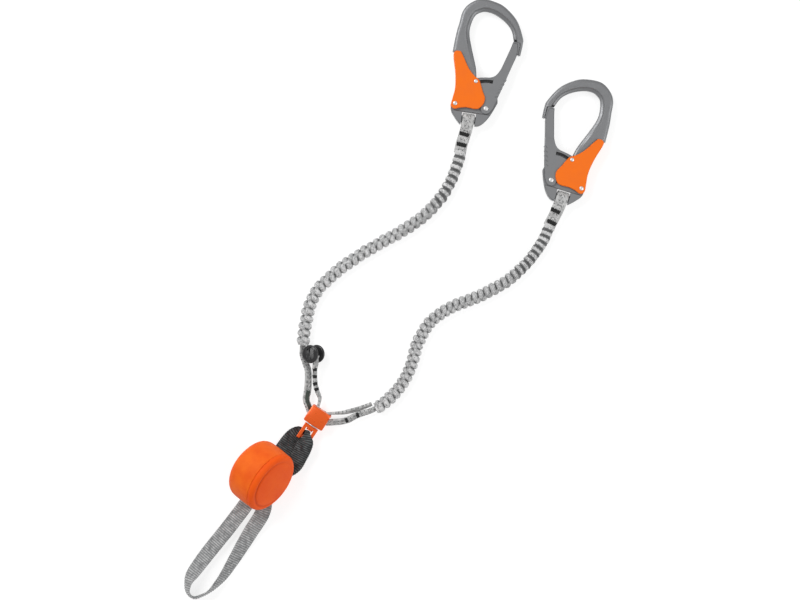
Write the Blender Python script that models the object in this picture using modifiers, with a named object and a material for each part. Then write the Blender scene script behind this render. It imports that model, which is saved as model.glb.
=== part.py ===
"""A via ferrata lanyard laid out flat on a surface.

Two palm-lever carabiners hang on two pleated elastic arms. The arms meet at a swivel, and under the
swivel a webbing link runs into a soft pouch with the folded tear webbing, and out of it as the tie-in loop.
Units are metres, Z points up, and the surface that everything lies on is Z = 0.
"""

import bpy
import bmesh
import math
import numpy as np
from mathutils import Matrix, Vector

# Shared clearances and small sizes
CLEARANCE = 0.0003            # between two pieces that touch
STRAP_CLEARANCE = 0.0004      # between a strap and the hard piece or slot that it runs through
OVERRUN = 0.002               # how far a cutter passes its target
WELD_DISTANCE = 1e-6          # points nearer than this are one point

# Fineness of the round shapes
ROUND_SIDES = 24
RIVET_SIDES = 16
BAR_SIDES = 20
RING_SIDES = 28
POCKET_SIDES = 32
SLOT_STEPS = 10
COIL_STEPS = 8                # to each turn of a spring
ROUTE_STEPS = 24              # between two points of a table, before the route is spaced out evenly
LOOP_STEP_SHARE = 2 / 3       # of the webbing's thickness
SHARP_ANGLE_DEG = 35.0        # an edge that turns more than this is shaded as an edge

# Carabiner, seen flat: across is the gate's side, along runs from the web bar to the crown
CARABINER_WIDTH = 0.0748
CARABINER_LENGTH = 0.139
HOOK_THICKNESS = 0.011
HOOK_CHAMFER = 0.0014
PLATE_THICKNESS = 0.008
TONGUE_THICKNESS = 0.003
FOOT_THICKNESS = 0.0126
FOOT_CHAMFER = 0.0008
GATE_CHEEK_THICKNESS = 0.002
GATE_CHAMFER = 0.001
LEVER_WALL = 0.0018
LEVER_CHAMFER = 0.0007
WEB_BAR_RADIUS = 0.004
RIVET_HEAD_THICKNESS = 0.0006
GATE_RIVET_RADIUS = 0.0018
GATE_RIVET_HEAD_RADIUS = 0.0026
LEVER_RIVET_RADIUS = 0.0015
LEVER_RIVET_HEAD_RADIUS = 0.0023
LOCK_PIN_RADIUS = 0.0013
LOCK_PIN_HEAD_RADIUS = 0.0021
LEVER_TRAVEL_DEG = 4.0
GATE_TRAVEL_DEG = 30.0
GATE_SPRING_WIRE_RADIUS = 0.0005
LEVER_SPRING_WIRE_RADIUS = 0.0004
LEVER_SPRING_RADIUS = 0.0019
LEVER_SPRING_POCKET_DEPTH = 0.007
LEVER_SPRING_TURNS = 4

# Webbing
EYE_SIDE_CLEARANCE = 0.0009292   # between the sewn eye and each side of the frame's slot
ARM_WEBBING_THICKNESS = 0.0025
LOOP_WEBBING_WIDTH = 0.009
LOOP_WEBBING_THICKNESS = 0.0036
LINK_WEBBING_WIDTH = 0.0178
LINK_WEBBING_THICKNESS = 0.0025
TIE_WEBBING_WIDTH = 0.0168
TIE_WEBBING_THICKNESS = 0.0018
TIE_LENGTH = 0.126
TEAR_WEBBING_THICKNESS = 0.0032
TEAR_WEBBING_PITCH = 0.0045
TEAR_WEBBING_FOLDS = 7
TEAR_WEBBING_LIFT = 0.0025    # over the pouch's floor, clear of its rounding

# Elastic arms
ARM_CREST_RADIUS = 0.0069
ARM_GROOVE_RADIUS = 0.0053
ARM_PLAIN_RADIUS = 0.0058
LEFT_ARM_PLEATS = 33
RIGHT_ARM_PLEATS = 37

# Swivel, in its own frame: across to the right arm, along up its axis, and the surface below it
HEAD_WIDTH = 0.024
HEAD_LENGTH = 0.0197
HEAD_THICKNESS = 0.018
HEAD_CHAMFER = 0.0016
HEAD_BITE_RADIUS = 0.0026     # the notch in the head's side where the right arm's webbing goes in
HEAD_BITE_OUT = 0.0010        # how far its middle is outside the head
POST_RADIUS = 0.003
POST_ACROSS = 0.0088
POST_ALONG = 0.005
AXLE_RADIUS = 0.0025
AXLE_HEAD_RADIUS = 0.0036
AXLE_HEAD_THICKNESS = 0.0015
AXLE_DEPTH = 0.0060
WASHER_RADIUS = 0.006
WASHER_THICKNESS = 0.0009
SHACKLE_WIDTH = 0.0164
SHACKLE_LENGTH = 0.0185
SHACKLE_THICKNESS = 0.007
SHACKLE_LIMB = 0.0038
SHACKLE_BAR_RADIUS = 0.0024
SHACKLE_CHAMFER = 0.0006

# Pouch: a short oval cylinder leaning back on its lower rim
POUCH_LENGTH = 0.0415         # from its back to its lid, along its axis
POUCH_HALF_HEIGHT = 0.0345    # along the swivel's axis
POUCH_HALF_DEPTH = 0.030
POUCH_ROUNDING = 0.010
POUCH_WALL = 0.003
POUCH_BACK_WALL = 0.0045
POUCH_TILT_DEG = 32.0
POUCH_ACROSS = -0.0171
POUCH_ALONG = -0.0840
POUCH_CENTRE_HEIGHT = 0.0315
LID_THICKNESS = 0.006
LID_ROUNDING = 0.0055

# Keeper button: two discs on a core
BUTTON_RADIUS = 0.010
BUTTON_DISC_THICKNESS = 0.003
BUTTON_CORE_RADIUS = 0.003
BUTTON_GAP = 0.010
BUTTON_TILT_DEG = 30.0
BUTTON_HEIGHT = 0.0135
BUTTON_TWIST_END = 2.4        # the webbing starts to lean at this many disc radii from the button
BUTTON_WAY_IN = 1.15          # and is straight from this many disc radii in
CORE_BEARINGS_DEG = (-10, 15, 40, 65, 90)

# Places in the plan
LEFT_BAR = (0.0746, 0.1972)
LEFT_LEAN_DEG = 8.5
RIGHT_BAR = (0.1774, 0.1120)
RIGHT_LEAN_DEG = 16.7
SWIVEL_CENTRE = (-0.0902, -0.1286)
SWIVEL_TURN_DEG = -33.6
BUTTON_CENTRE = (-0.0945, -0.0590)

# Outline points are shares of the carabiner's width and length; a third 1 marks a corner
HOOK_SHARES = [
    (0.579, 0.601, 1), (0.616, 0.603, 1), (0.627, 0.669), (0.619, 0.737), (0.505, 0.861), (0.338, 0.945),
    (0.183, 0.986), (-0.056, 1.000), (-0.222, 0.953), (-0.311, 0.883), (-0.338, 0.784), (-0.360, 0.696),
    (-0.373, 0.555, 1), (-0.265, 0.550, 1), (-0.234, 0.446), (-0.213, 0.360), (-0.209, 0.266, 1),
    (-0.150, 0.305), (-0.075, 0.346), (0.027, 0.381, 1), (-0.005, 0.461), (-0.095, 0.590), (-0.162, 0.701),
    (-0.167, 0.777), (-0.126, 0.859), (-0.044, 0.896), (0.043, 0.906), (0.172, 0.892), (0.329, 0.847),
    (0.436, 0.788), (0.493, 0.710, 1), (0.586, 0.704, 1)]
PLATE_SHARES = [
    (-0.210, 0.360, 1), (-0.209, 0.237, 1), (-0.266, 0.187, 1), (-0.275, 0.144), (-0.274, 0.104),
    (-0.198, 0.045), (-0.114, 0.001, 1), (0.130, 0.000, 1), (0.171, 0.008), (0.246, 0.046), (0.316, 0.108),
    (0.389, 0.204, 1), (0.382, 0.227, 1), (0.344, 0.288), (0.197, 0.320), (0.076, 0.309, 1),
    (-0.051, 0.331, 1), (-0.051, 0.355, 1)]
TONGUE_SHARES = [
    (0.364, 0.237, 1), (0.414, 0.371, 1), (0.303, 0.397), (0.183, 0.396), (0.063, 0.383),
    (-0.004, 0.371, 1), (-0.047, 0.324, 1), (0.090, 0.295, 1), (0.223, 0.302, 1)]
FOOT_SHARES = [
    (-0.271, 0.102, 1), (-0.198, 0.045), (-0.114, 0.001, 1), (0.130, 0.000, 1), (0.171, 0.008),
    (0.246, 0.046), (0.307, 0.102, 1)]
GATE_CHEEK_SHARES = [
    (0.155, 0.162), (0.168, 0.122), (0.230, 0.106), (0.293, 0.124), (0.368, 0.223, 1), (0.422, 0.324),
    (0.475, 0.424), (0.493, 0.460, 1), (0.354, 0.459, 1), (0.314, 0.424), (0.279, 0.406), (0.230, 0.394),
    (0.045, 0.377), (-0.025, 0.356, 1), (0.036, 0.301, 1), (0.103, 0.216)]
GATE_BAR_SHARES = [
    (0.481, 0.694, 1), (0.555, 0.692, 1), (0.570, 0.622), (0.516, 0.504), (0.475, 0.424),
    (0.453, 0.381, 1), (0.384, 0.397), (0.303, 0.410, 1), (0.362, 0.471), (0.386, 0.511), (0.437, 0.604),
    (0.469, 0.665)]
LEVER_SHARES = [
    (-0.353, 0.545, 1), (-0.321, 0.562), (-0.253, 0.563, 1), (-0.202, 0.523), (-0.096, 0.435),
    (-0.001, 0.386), (0.071, 0.361), (0.106, 0.327), (0.148, 0.276), (0.198, 0.216), (0.138, 0.143),
    (0.092, 0.131), (-0.049, 0.133), (-0.155, 0.122), (-0.231, 0.109), (-0.279, 0.128), (-0.278, 0.178),
    (-0.258, 0.267), (-0.275, 0.362), (-0.305, 0.437), (-0.344, 0.512)]
LEVER_INSIDE_SHARES = [
    (-0.325, 0.536, 1), (-0.282, 0.439), (-0.250, 0.360), (-0.233, 0.266), (-0.240, 0.235, 1),
    (-0.45, 0.235, 1), (-0.45, 0.05, 1), (0.45, 0.05, 1), (0.45, 0.62, 1), (-0.45, 0.62, 1),
    (-0.45, 0.536, 1)]
WEB_SLOT_SHARES = [(-0.104, -0.02, 1), (0.104, -0.02, 1), (0.104, 0.101, 1), (-0.104, 0.101, 1)]
GATE_PIVOT_SHARES = (0.230, 0.148)
LEVER_PIVOT_SHARES = (-0.226, 0.152)
LOCK_PIN_SHARES = (0.025, 0.347)
LEVER_SPRING_SHARES = (-0.288, 0.446)
SPINE_EDGE_SHARES = (-0.234, 0.446)
GATE_SPRING_SHARES = [(0.080, 0.322), (0.180, 0.334), (0.290, 0.330), (0.345, 0.343), (0.352, 0.366),
                      (0.335, 0.388), (0.322, 0.399)]
WEB_BAR_SHARE = 0.043

# Routes, in metres in the plan
LEFT_ARM_ROUTE = [
    (0.0602, 0.1434), (0.0558, 0.1320), (0.0474, 0.1166), (0.0375, 0.1040), (0.0250, 0.0913),
    (0.0095, 0.0801), (-0.0045, 0.0717), (-0.0200, 0.0633), (-0.0369, 0.0535), (-0.0523, 0.0436),
    (-0.0663, 0.0338), (-0.0789, 0.0226), (-0.0888, 0.0128), (-0.0957, 0.0015), (-0.1000, -0.0097),
    (-0.1027, -0.0223), (-0.1046, -0.0330), (-0.1060, -0.0462)]
RIGHT_ARM_ROUTE = [
    (0.1623, 0.0787), (0.1570, 0.0668), (0.1493, 0.0548), (0.1400, 0.0425), (0.1293, 0.0317),
    (0.1169, 0.0209), (0.1014, 0.0117), (0.0860, 0.0039), (0.0706, -0.0023), (0.0552, -0.0085),
    (0.0428, -0.0162), (0.0320, -0.0254), (0.0243, -0.0377), (0.0181, -0.0502), (0.0151, -0.0625),
    (0.0105, -0.0763), (0.0043, -0.0887), (-0.0035, -0.0995), (-0.0118, -0.1080), (-0.0218, -0.1162)]
LEFT_EYE_ROUTE = [(0.0725, 0.1870), (0.0705, 0.1800), (0.0675, 0.1706), (0.0651, 0.1586)]
RIGHT_EYE_ROUTE = [(0.1734, 0.1011), (0.1693, 0.0924)]
LEFT_LOOP_DOWN = [(-0.1074, -0.0600), (-0.1045, -0.0690), (-0.1025, -0.0765),
                  (-0.1015, -0.0870), (-0.1022, -0.0990), (-0.1027, -0.1090)]
LEFT_LOOP_UP = [(-0.0885, -0.1080), (-0.0905, -0.1010), (-0.0925, -0.0930), (-0.0935, -0.0850),
                (-0.0930, -0.0760)]
RIGHT_LOOP_DOWN = [(-0.0330, -0.1222), (-0.0471, -0.1265), (-0.0600, -0.1320)]
RIGHT_LOOP_UP = [(-0.0650, -0.1228), (-0.0560, -0.1205), (-0.0440, -0.1172), (-0.0310, -0.1125)]
LEFT_POST_BEARINGS_DEG = (165, 380)
RIGHT_POST_BEARINGS_DEG = (-70, -245)
POST_STEPS = 7

# The tie-in loop: across and along as shares of its length, the webbing's twist, and its lift as a share
TIE_SHARES = [
    (-0.091, -0.110, 0, 0.090), (-0.098, -0.020, 0, 0.086), (-0.100, 0.067, 0, 0.080),
    (-0.118, 0.345, 5, 0.050), (-0.143, 0.613, 12, 0.020), (-0.155, 0.818, 30, 0.008),
    (-0.146, 0.919, 56, 0.004), (-0.100, 0.994, 70, 0.002), (-0.027, 1.004, 74, 0.002),
    (0.026, 0.941, 78, 0.002), (0.056, 0.880, 78, 0.002), (0.072, 0.811, 68, 0.003),
    (0.083, 0.713, 57, 0.004), (0.083, 0.598, 46, 0.008), (0.076, 0.447, 32, 0.015),
    (0.067, 0.271, 15, 0.034), (0.062, 0.080, 0, 0.066), (0.028, -0.025, 0, 0.096),
    (-0.034, -0.110, 0, 0.134)]
TIE_START_ALONG = -0.113

# The link: across, along from the shackle's bar, height over it and width, as shares of the webbing's width.
# It comes up from the pouch on the left, goes through the shackle from below and comes down on the right.
LINK_SHARES = [
    (-0.74, -2.50, 0.36, 0.78), (-0.70, -1.90, 0.15, 1.00), (-0.67, -1.25, -0.16, 1.03),
    (-0.65, -0.72, -0.34, 1.02), (-0.58, -0.28, -0.37, 0.96), (-0.42, 0.04, -0.37, 0.80),
    (-0.18, 0.20, -0.37, 0.44), (-0.02, 0.32, -0.31, 0.30), (0.00, 0.38, -0.10, 0.34),
    (0.00, 0.38, 0.10, 0.36), (0.03, 0.31, 0.31, 0.36), (0.13, 0.10, 0.38, 0.62), (0.25, -0.18, 0.36, 0.92),
    (0.31, -0.62, 0.30, 1.04), (0.38, -1.15, 0.20, 1.00), (0.44, -1.75, 0.14, 0.96),
    (0.30, -2.25, 0.24, 0.70), (-0.04, -2.75, 0.50, 0.50)]
FOLD_BEARINGS_DEG = (90, 45, 0, -45, -90)            # round each fold of the tear webbing

# Worked out from the sizes above
CHEEK_INNER = PLATE_THICKNESS / 2 + CLEARANCE
CHEEK_OUTER = CHEEK_INNER + GATE_CHEEK_THICKNESS
LEVER_INNER = max(CHEEK_OUTER, FOOT_THICKNESS / 2) + CLEARANCE
LEVER_OUTER = LEVER_INNER + LEVER_WALL
RIVET_OUTER = LEVER_OUTER + CLEARANCE + RIVET_HEAD_THICKNESS
CARABINER_HEIGHT = RIVET_OUTER
ARM_HEIGHT = ARM_CREST_RADIUS + CLEARANCE
SWIVEL_HEIGHT = HEAD_THICKNESS / 2
POST_PATH_RADIUS = POST_RADIUS + STRAP_CLEARANCE + LOOP_WEBBING_THICKNESS / 2
POCKET_RADIUS = POST_PATH_RADIUS + LOOP_WEBBING_THICKNESS / 2 + 2 * STRAP_CLEARANCE
POCKET_HEIGHT = LOOP_WEBBING_WIDTH + 2 * STRAP_CLEARANCE
WEB_SLOT_WIDTH = (WEB_SLOT_SHARES[1][0] - WEB_SLOT_SHARES[0][0]) * CARABINER_WIDTH
ARM_WEBBING_WIDTH = WEB_SLOT_WIDTH - 2 * EYE_SIDE_CLEARANCE
EYE_INNER_RADIUS = WEB_BAR_RADIUS + STRAP_CLEARANCE
EYE_OUTER_RADIUS = EYE_INNER_RADIUS + ARM_WEBBING_THICKNESS
YOKE_TOP = -HEAD_LENGTH / 2 - WASHER_THICKNESS - 2 * CLEARANCE
SHACKLE_BAR_ALONG = YOKE_TOP - SHACKLE_LENGTH + SHACKLE_LIMB


# Scene helpers

for old in list(bpy.data.objects):
    bpy.data.objects.remove(old, do_unlink=True)
LANYARD = bpy.data.collections.new("via_ferrata_lanyard")
bpy.context.scene.collection.children.link(LANYARD)
WORKSHOP = bpy.data.collections.new("working_shapes")
bpy.context.scene.collection.children.link(WORKSHOP)


def material(name, colour, roughness, metallic=0.0):
    """A Principled material of one colour, given in linear values."""
    made = bpy.data.materials.new(name)
    made.use_nodes = True
    shader = made.node_tree.nodes["Principled BSDF"]
    shader.inputs["Base Color"].default_value = (*colour, 1.0)
    shader.inputs["Roughness"].default_value = roughness
    shader.inputs["Metallic"].default_value = metallic
    made.diffuse_color = (*colour, 1.0)
    return made


ALLOY = material("grey_alloy", (0.20, 0.20, 0.21), 0.45, 0.8)
LEVER_PLASTIC = material("orange_plastic", (0.90, 0.17, 0.01), 0.45)
STEEL = material("bright_steel", (0.70, 0.70, 0.70), 0.25, 1.0)
ORANGE_ALLOY = material("orange_alloy", (0.80, 0.08, 0.01), 0.35, 0.6)
GREY_WEBBING = material("light_webbing", (0.45, 0.45, 0.45), 0.9)
TIE_WEBBING = material("mid_grey_webbing", (0.26, 0.26, 0.27), 0.9)
BLACK_WEBBING = material("black_webbing", (0.03, 0.03, 0.03), 0.9)
POUCH_FABRIC = material("orange_fabric", (0.85, 0.13, 0.01), 0.85)
BUTTON_PLASTIC = material("charcoal_plastic", (0.05, 0.05, 0.05), 0.35)


def working_object(name, mesh):
    """An object in the collection of working shapes, never rendered."""
    made = bpy.data.objects.new(name, mesh)
    WORKSHOP.objects.link(made)
    made.hide_render = True
    made.display_type = "WIRE"
    return made


def baked(obj):
    """The object's evaluated mesh with its seams welded; the object is removed."""
    bpy.context.view_layer.update()
    graph = bpy.context.evaluated_depsgraph_get()
    mesh = bpy.data.meshes.new_from_object(obj.evaluated_get(graph))
    work = bmesh.new()
    work.from_mesh(mesh)
    bmesh.ops.remove_doubles(work, verts=work.verts, dist=WELD_DISTANCE)
    bmesh.ops.recalc_face_normals(work, faces=work.faces)
    work.to_mesh(mesh)
    work.free()
    bpy.data.objects.remove(obj, do_unlink=True)
    return mesh


def combined(mesh, operation, *others):
    """The mesh after a Boolean with each of the others in turn."""
    for other in others:
        target = working_object("target", mesh)
        tool = working_object("tool", other)
        step = target.modifiers.new("boolean", "BOOLEAN")
        step.operation = operation
        step.solver = "EXACT"
        step.object = tool
        mesh = baked(target)
        bpy.data.objects.remove(tool, do_unlink=True)
    return mesh


def piece(name, mesh, finish, parent=None, origin=(0, 0, 0)):
    """A finished sub-part with its origin at the given point of its parent's frame."""
    mesh = mesh.copy()
    mesh.transform(Matrix.Translation(-Vector(origin)))
    mesh.materials.clear()
    mesh.materials.append(finish)
    mesh.shade_smooth()
    mesh.set_sharp_from_angle(angle=math.radians(SHARP_ANGLE_DEG))
    made = bpy.data.objects.new(name, mesh)
    LANYARD.objects.link(made)
    made.parent = parent
    made.location = origin
    return made


def empty(name, matrix):
    made = bpy.data.objects.new(name, None)
    LANYARD.objects.link(made)
    made.matrix_world = matrix
    return made


# Shape helpers

def plate(points, low, high, chamfer=0.0, resolution=3):
    """A flat outline between two heights. A point is (x, y) or, at a corner, (x, y, 1)."""
    curve = bpy.data.curves.new("outline", "CURVE")
    curve.dimensions = "2D"
    curve.fill_mode = "BOTH"
    curve.resolution_u = resolution
    curve.extrude = (high - low) / 2 - chamfer
    curve.bevel_depth = chamfer
    curve.bevel_resolution = 0
    curve.offset = -chamfer
    spline = curve.splines.new("BEZIER")
    spline.bezier_points.add(len(points) - 1)
    spline.use_cyclic_u = True
    for knot, point in zip(spline.bezier_points, points):
        kind = "VECTOR" if len(point) > 2 else "AUTO"
        knot.co = (point[0], point[1], 0)
        knot.handle_left_type = kind
        knot.handle_right_type = kind
    mesh = baked(working_object("outline", curve))
    mesh.transform(Matrix.Translation((0, 0, (high + low) / 2)))
    return mesh


def cylinder(radius, start, end, sides=ROUND_SIDES):
    """A round bar between two points."""
    start, end = Vector(start), Vector(end)
    work = bmesh.new()
    bmesh.ops.create_cone(work, cap_ends=True, segments=sides, radius1=radius, radius2=radius,
                          depth=(end - start).length)
    turn = (end - start).to_track_quat("Z", "Y").to_matrix().to_4x4()
    bmesh.ops.transform(work, matrix=Matrix.Translation((start + end) / 2) @ turn, verts=work.verts)
    mesh = bpy.data.meshes.new("cylinder")
    work.to_mesh(mesh)
    work.free()
    return mesh


def box(low, high, bevel=0.0):
    """A box between two corners, its edges bevelled."""
    low, high = Vector(low), Vector(high)
    work = bmesh.new()
    bmesh.ops.create_cube(work, size=1.0)
    bmesh.ops.scale(work, vec=high - low, verts=work.verts)
    bmesh.ops.translate(work, vec=(low + high) / 2, verts=work.verts)
    if bevel:
        bmesh.ops.bevel(work, geom=work.edges[:], offset=bevel, segments=2, profile=0.5, affect="EDGES")
    mesh = bpy.data.meshes.new("box")
    work.to_mesh(mesh)
    work.free()
    return mesh


def turned(profile, steps=RING_SIDES):
    """A profile of (radius, height) turned about Z, which runs down its outer side."""
    mesh = bpy.data.meshes.new("profile")
    edges = [(i, i + 1) for i in range(len(profile) - 1)]
    mesh.from_pydata([(r, 0, z) for r, z in profile], edges, [])
    made = working_object("profile", mesh)
    screw = made.modifiers.new("screw", "SCREW")
    screw.steps = screw.render_steps = steps
    screw.use_merge_vertices = True
    screw.merge_threshold = WELD_DISTANCE
    return baked(made)


def smooth_route(points, spacing):
    """Points evenly spaced on a smooth curve through the given ones. Values past the third ride along."""
    knots = np.array(points, float)
    padded = np.vstack([2 * knots[0] - knots[1], knots, 2 * knots[-1] - knots[-2]])
    share = np.linspace(0, 1, ROUTE_STEPS, endpoint=False)[:, None]
    fine = []
    for a, b, c, d in zip(padded, padded[1:], padded[2:], padded[3:]):
        fine.append(0.5 * (2 * b + (c - a) * share + (2 * a - 5 * b + 4 * c - d) * share ** 2
                           + (3 * b - a - 3 * c + d) * share ** 3))
    fine = np.vstack([*fine, knots[-1:]])
    steps = np.linalg.norm(np.diff(fine[:, :3], axis=0), axis=1)
    length = np.concatenate([[0], np.cumsum(steps)])
    count = max(2, round(length[-1] / spacing) + 1)
    at = np.linspace(0, length[-1], count)
    return np.column_stack([np.interp(at, length, fine[:, k]) for k in range(knots.shape[1])])


def tube(points, radii, resolution=2):
    """A round tube through the points with a radius at each."""
    curve = bpy.data.curves.new("tube", "CURVE")
    curve.dimensions = "3D"
    curve.bevel_depth = max(radii)
    curve.bevel_resolution = resolution
    curve.use_fill_caps = True
    spline = curve.splines.new("POLY")
    spline.points.add(len(points) - 1)
    for knot, point, radius in zip(spline.points, points, radii):
        knot.co = (*point, 1)
        knot.radius = radius / max(radii)
    return baked(working_object("tube", curve))


def ribbon(points, widths, thickness, sides):
    """A flat band along the points: its width at each point, and the direction its width takes there."""
    points = np.array(points, float)
    count = len(points)
    widths = np.broadcast_to(widths, count)
    sides = np.broadcast_to(np.array(sides, float), (count, 3))
    along = np.gradient(points, axis=0)
    along /= np.linalg.norm(along, axis=1)[:, None]
    across = sides - along * np.sum(sides * along, axis=1)[:, None]
    across /= np.linalg.norm(across, axis=1)[:, None]
    normal = np.cross(along, across)
    half = across * widths[:, None] / 2
    lift = normal * thickness / 2
    rings = np.stack([points - half - lift, points + half - lift, points + half + lift,
                      points - half + lift], axis=1)
    vertices = rings.reshape(-1, 3)
    faces = [(0, 3, 2, 1), tuple(4 * (count - 1) + k for k in range(4))]
    for i in range(count - 1):
        for k in range(4):
            near, far = 4 * i, 4 * i + 4
            faces.append((near + k, near + (k + 1) % 4, far + (k + 1) % 4, far + k))
    mesh = bpy.data.meshes.new("ribbon")
    mesh.from_pydata(vertices.tolist(), [], faces)
    work = bmesh.new()
    work.from_mesh(mesh)
    bmesh.ops.recalc_face_normals(work, faces=work.faces)
    work.to_mesh(mesh)
    work.free()
    return mesh


def moved(mesh, matrix):
    mesh.transform(matrix)
    return mesh


def in_carabiner(shares):
    """A share pair as a point of the carabiner's frame, whose origin is the middle of its web bar."""
    return (shares[0] * CARABINER_WIDTH, (shares[1] - WEB_BAR_SHARE) * CARABINER_LENGTH)


def carabiner_outline(table):
    return [(*in_carabiner(point), *point[2:]) for point in table]


def turned_about(point, pivot, degrees):
    """The point after a clockwise turn about the pivot."""
    turn = Matrix.Rotation(-math.radians(degrees), 2)
    return Vector(pivot) + turn @ (Vector(point) - Vector(pivot))


# Carabiner

GATE_PIVOT = in_carabiner(GATE_PIVOT_SHARES)
LEVER_PIVOT = in_carabiner(LEVER_PIVOT_SHARES)
LOCK_PIN = in_carabiner(LOCK_PIN_SHARES)
LOCK_PIN_SQUEEZED = turned_about(LOCK_PIN, LEVER_PIVOT, LEVER_TRAVEL_DEG)
PIN_ROOM = LOCK_PIN_RADIUS + CLEARANCE + CLEARANCE / 2


def pin_window(depth):
    """A cutter round the lock pin's whole travel."""
    start, end = Vector(LOCK_PIN), Vector(LOCK_PIN_SQUEEZED)
    way = (end - start).normalized() * PIN_ROOM
    side = Vector((-way.y, way.x))
    outline = [start - side - way, end - side + way, end + side + way, start + side - way]
    return plate([(p.x, p.y, 1) for p in outline], -depth, depth)


def frame_mesh():
    """Hook, spine, lower plate, thick foot and web bar in one forging."""
    half = HOOK_THICKNESS / 2
    mesh = plate(carabiner_outline(HOOK_SHARES), -half, half, HOOK_CHAMFER)
    lower = plate(carabiner_outline(PLATE_SHARES), -PLATE_THICKNESS / 2, PLATE_THICKNESS / 2)
    tongue = plate(carabiner_outline(TONGUE_SHARES), -TONGUE_THICKNESS / 2, TONGUE_THICKNESS / 2)
    foot = plate(carabiner_outline(FOOT_SHARES), -FOOT_THICKNESS / 2, FOOT_THICKNESS / 2, FOOT_CHAMFER)
    mesh = combined(mesh, "UNION", lower, tongue, foot)
    slot_cutter = plate(carabiner_outline(WEB_SLOT_SHARES), -FOOT_THICKNESS, FOOT_THICKNESS)
    reach = FOOT_THICKNESS
    rivet_holes = [cylinder(radius + CLEARANCE, (*pivot, -reach), (*pivot, reach))
                   for radius, pivot in ((GATE_RIVET_RADIUS, GATE_PIVOT), (LEVER_RIVET_RADIUS, LEVER_PIVOT))]
    mouth_x, mouth_y = in_carabiner(LEVER_SPRING_SHARES)
    pocket_end = in_carabiner(SPINE_EDGE_SHARES)[0] + LEVER_SPRING_POCKET_DEPTH
    pocket = cylinder(LEVER_SPRING_RADIUS + LEVER_SPRING_WIRE_RADIUS + CLEARANCE,
                      (mouth_x - OVERRUN, mouth_y, 0), (pocket_end, mouth_y, 0))
    mesh = combined(mesh, "DIFFERENCE", slot_cutter, *rivet_holes, pin_window(FOOT_THICKNESS), pocket)
    bar_end = WEB_SLOT_SHARES[1][0] * CARABINER_WIDTH + OVERRUN
    bar = cylinder(WEB_BAR_RADIUS, (-bar_end, 0, 0), (bar_end, 0, 0))
    return combined(mesh, "UNION", bar)


def gate_slot():
    """A cutter for the arc in which the lock pin runs, wide enough for the pin at rest and squeezed."""
    pivot = Vector(GATE_PIVOT)
    rest = Vector(LOCK_PIN) - pivot
    squeezed = Vector(LOCK_PIN_SQUEEZED) - pivot
    inner = squeezed.length - PIN_ROOM
    outer = rest.length + PIN_ROOM
    angles = [math.atan2(v.y, v.x) for v in (rest, squeezed)]
    margin = PIN_ROOM / inner
    start = min(angles) - math.radians(GATE_TRAVEL_DEG) - margin
    end = max(angles) + margin
    steps = [start + (end - start) * k / SLOT_STEPS for k in range(SLOT_STEPS + 1)]
    arc = [(inner, a) for a in steps] + [(outer, a) for a in reversed(steps)]
    points = [(pivot.x + r * math.cos(a), pivot.y + r * math.sin(a), 1) for r, a in arc]
    return plate(points, -CHEEK_OUTER - OVERRUN, CHEEK_OUTER + OVERRUN)


def gate_mesh():
    """Solid gate bar with two cheeks that straddle the frame's plate."""
    half = HOOK_THICKNESS / 2
    mesh = plate(carabiner_outline(GATE_BAR_SHARES), -half, half, GATE_CHAMFER)
    for low, high in ((CHEEK_INNER, CHEEK_OUTER), (-CHEEK_OUTER, -CHEEK_INNER)):
        mesh = combined(mesh, "UNION", plate(carabiner_outline(GATE_CHEEK_SHARES), low, high))
    hole = cylinder(GATE_RIVET_RADIUS + CLEARANCE, (*GATE_PIVOT, -LEVER_OUTER), (*GATE_PIVOT, LEVER_OUTER))
    return combined(mesh, "DIFFERENCE", hole, gate_slot())


def lever_mesh():
    """A channel: two side plates joined along the palm's side."""
    mesh = plate(carabiner_outline(LEVER_SHARES), -LEVER_OUTER, LEVER_OUTER, LEVER_CHAMFER)
    inside = plate(carabiner_outline(LEVER_INSIDE_SHARES), -LEVER_INNER, LEVER_INNER)
    reach = RIVET_OUTER
    rivet_hole = cylinder(LEVER_RIVET_RADIUS + CLEARANCE, (*LEVER_PIVOT, -reach), (*LEVER_PIVOT, reach))
    pin_hole = cylinder(LOCK_PIN_RADIUS + CLEARANCE, (*LOCK_PIN, -reach), (*LOCK_PIN, reach))
    return combined(mesh, "DIFFERENCE", inside, rivet_hole, pin_hole)


def rivet_mesh(place, shank, head, seat, thickness):
    """A shank with a flat head outside the piece whose outer face is at the seat height."""
    low = seat + CLEARANCE
    high = low + thickness
    profile = [(0, high), (head - thickness, high), (head, low), (shank, low), (shank, -low), (head, -low),
               (head - thickness, -high), (0, -high)]
    return moved(turned(profile, RIVET_SIDES), Matrix.Translation((*place, 0)))


def gate_spring_mesh():
    """A bent wire between the frame's plate and the gate's bar, beside the tongue."""
    height = (TONGUE_THICKNESS / 2 + CHEEK_INNER) / 2
    points = [(*in_carabiner(p), height) for p in GATE_SPRING_SHARES]
    return tube(points, [GATE_SPRING_WIRE_RADIUS] * len(points), 1)


def lever_spring_mesh():
    """A coil between the lever's back and a pocket in the spine, as an open helix about the across axis."""
    mouth_x, mouth_y = in_carabiner(LEVER_SPRING_SHARES)
    start = mouth_x + LEVER_SPRING_WIRE_RADIUS + CLEARANCE
    pocket_end = in_carabiner(SPINE_EDGE_SHARES)[0] + LEVER_SPRING_POCKET_DEPTH
    end = pocket_end - LEVER_SPRING_WIRE_RADIUS - CLEARANCE
    count = COIL_STEPS * LEVER_SPRING_TURNS
    points = []
    for k in range(count + 1):
        angle = 2 * math.pi * k / COIL_STEPS
        points.append((start + (end - start) * k / count, mouth_y + LEVER_SPRING_RADIUS * math.cos(angle),
                       LEVER_SPRING_RADIUS * math.sin(angle)))
    return tube(points, [LEVER_SPRING_WIRE_RADIUS] * len(points), 1)


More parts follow.
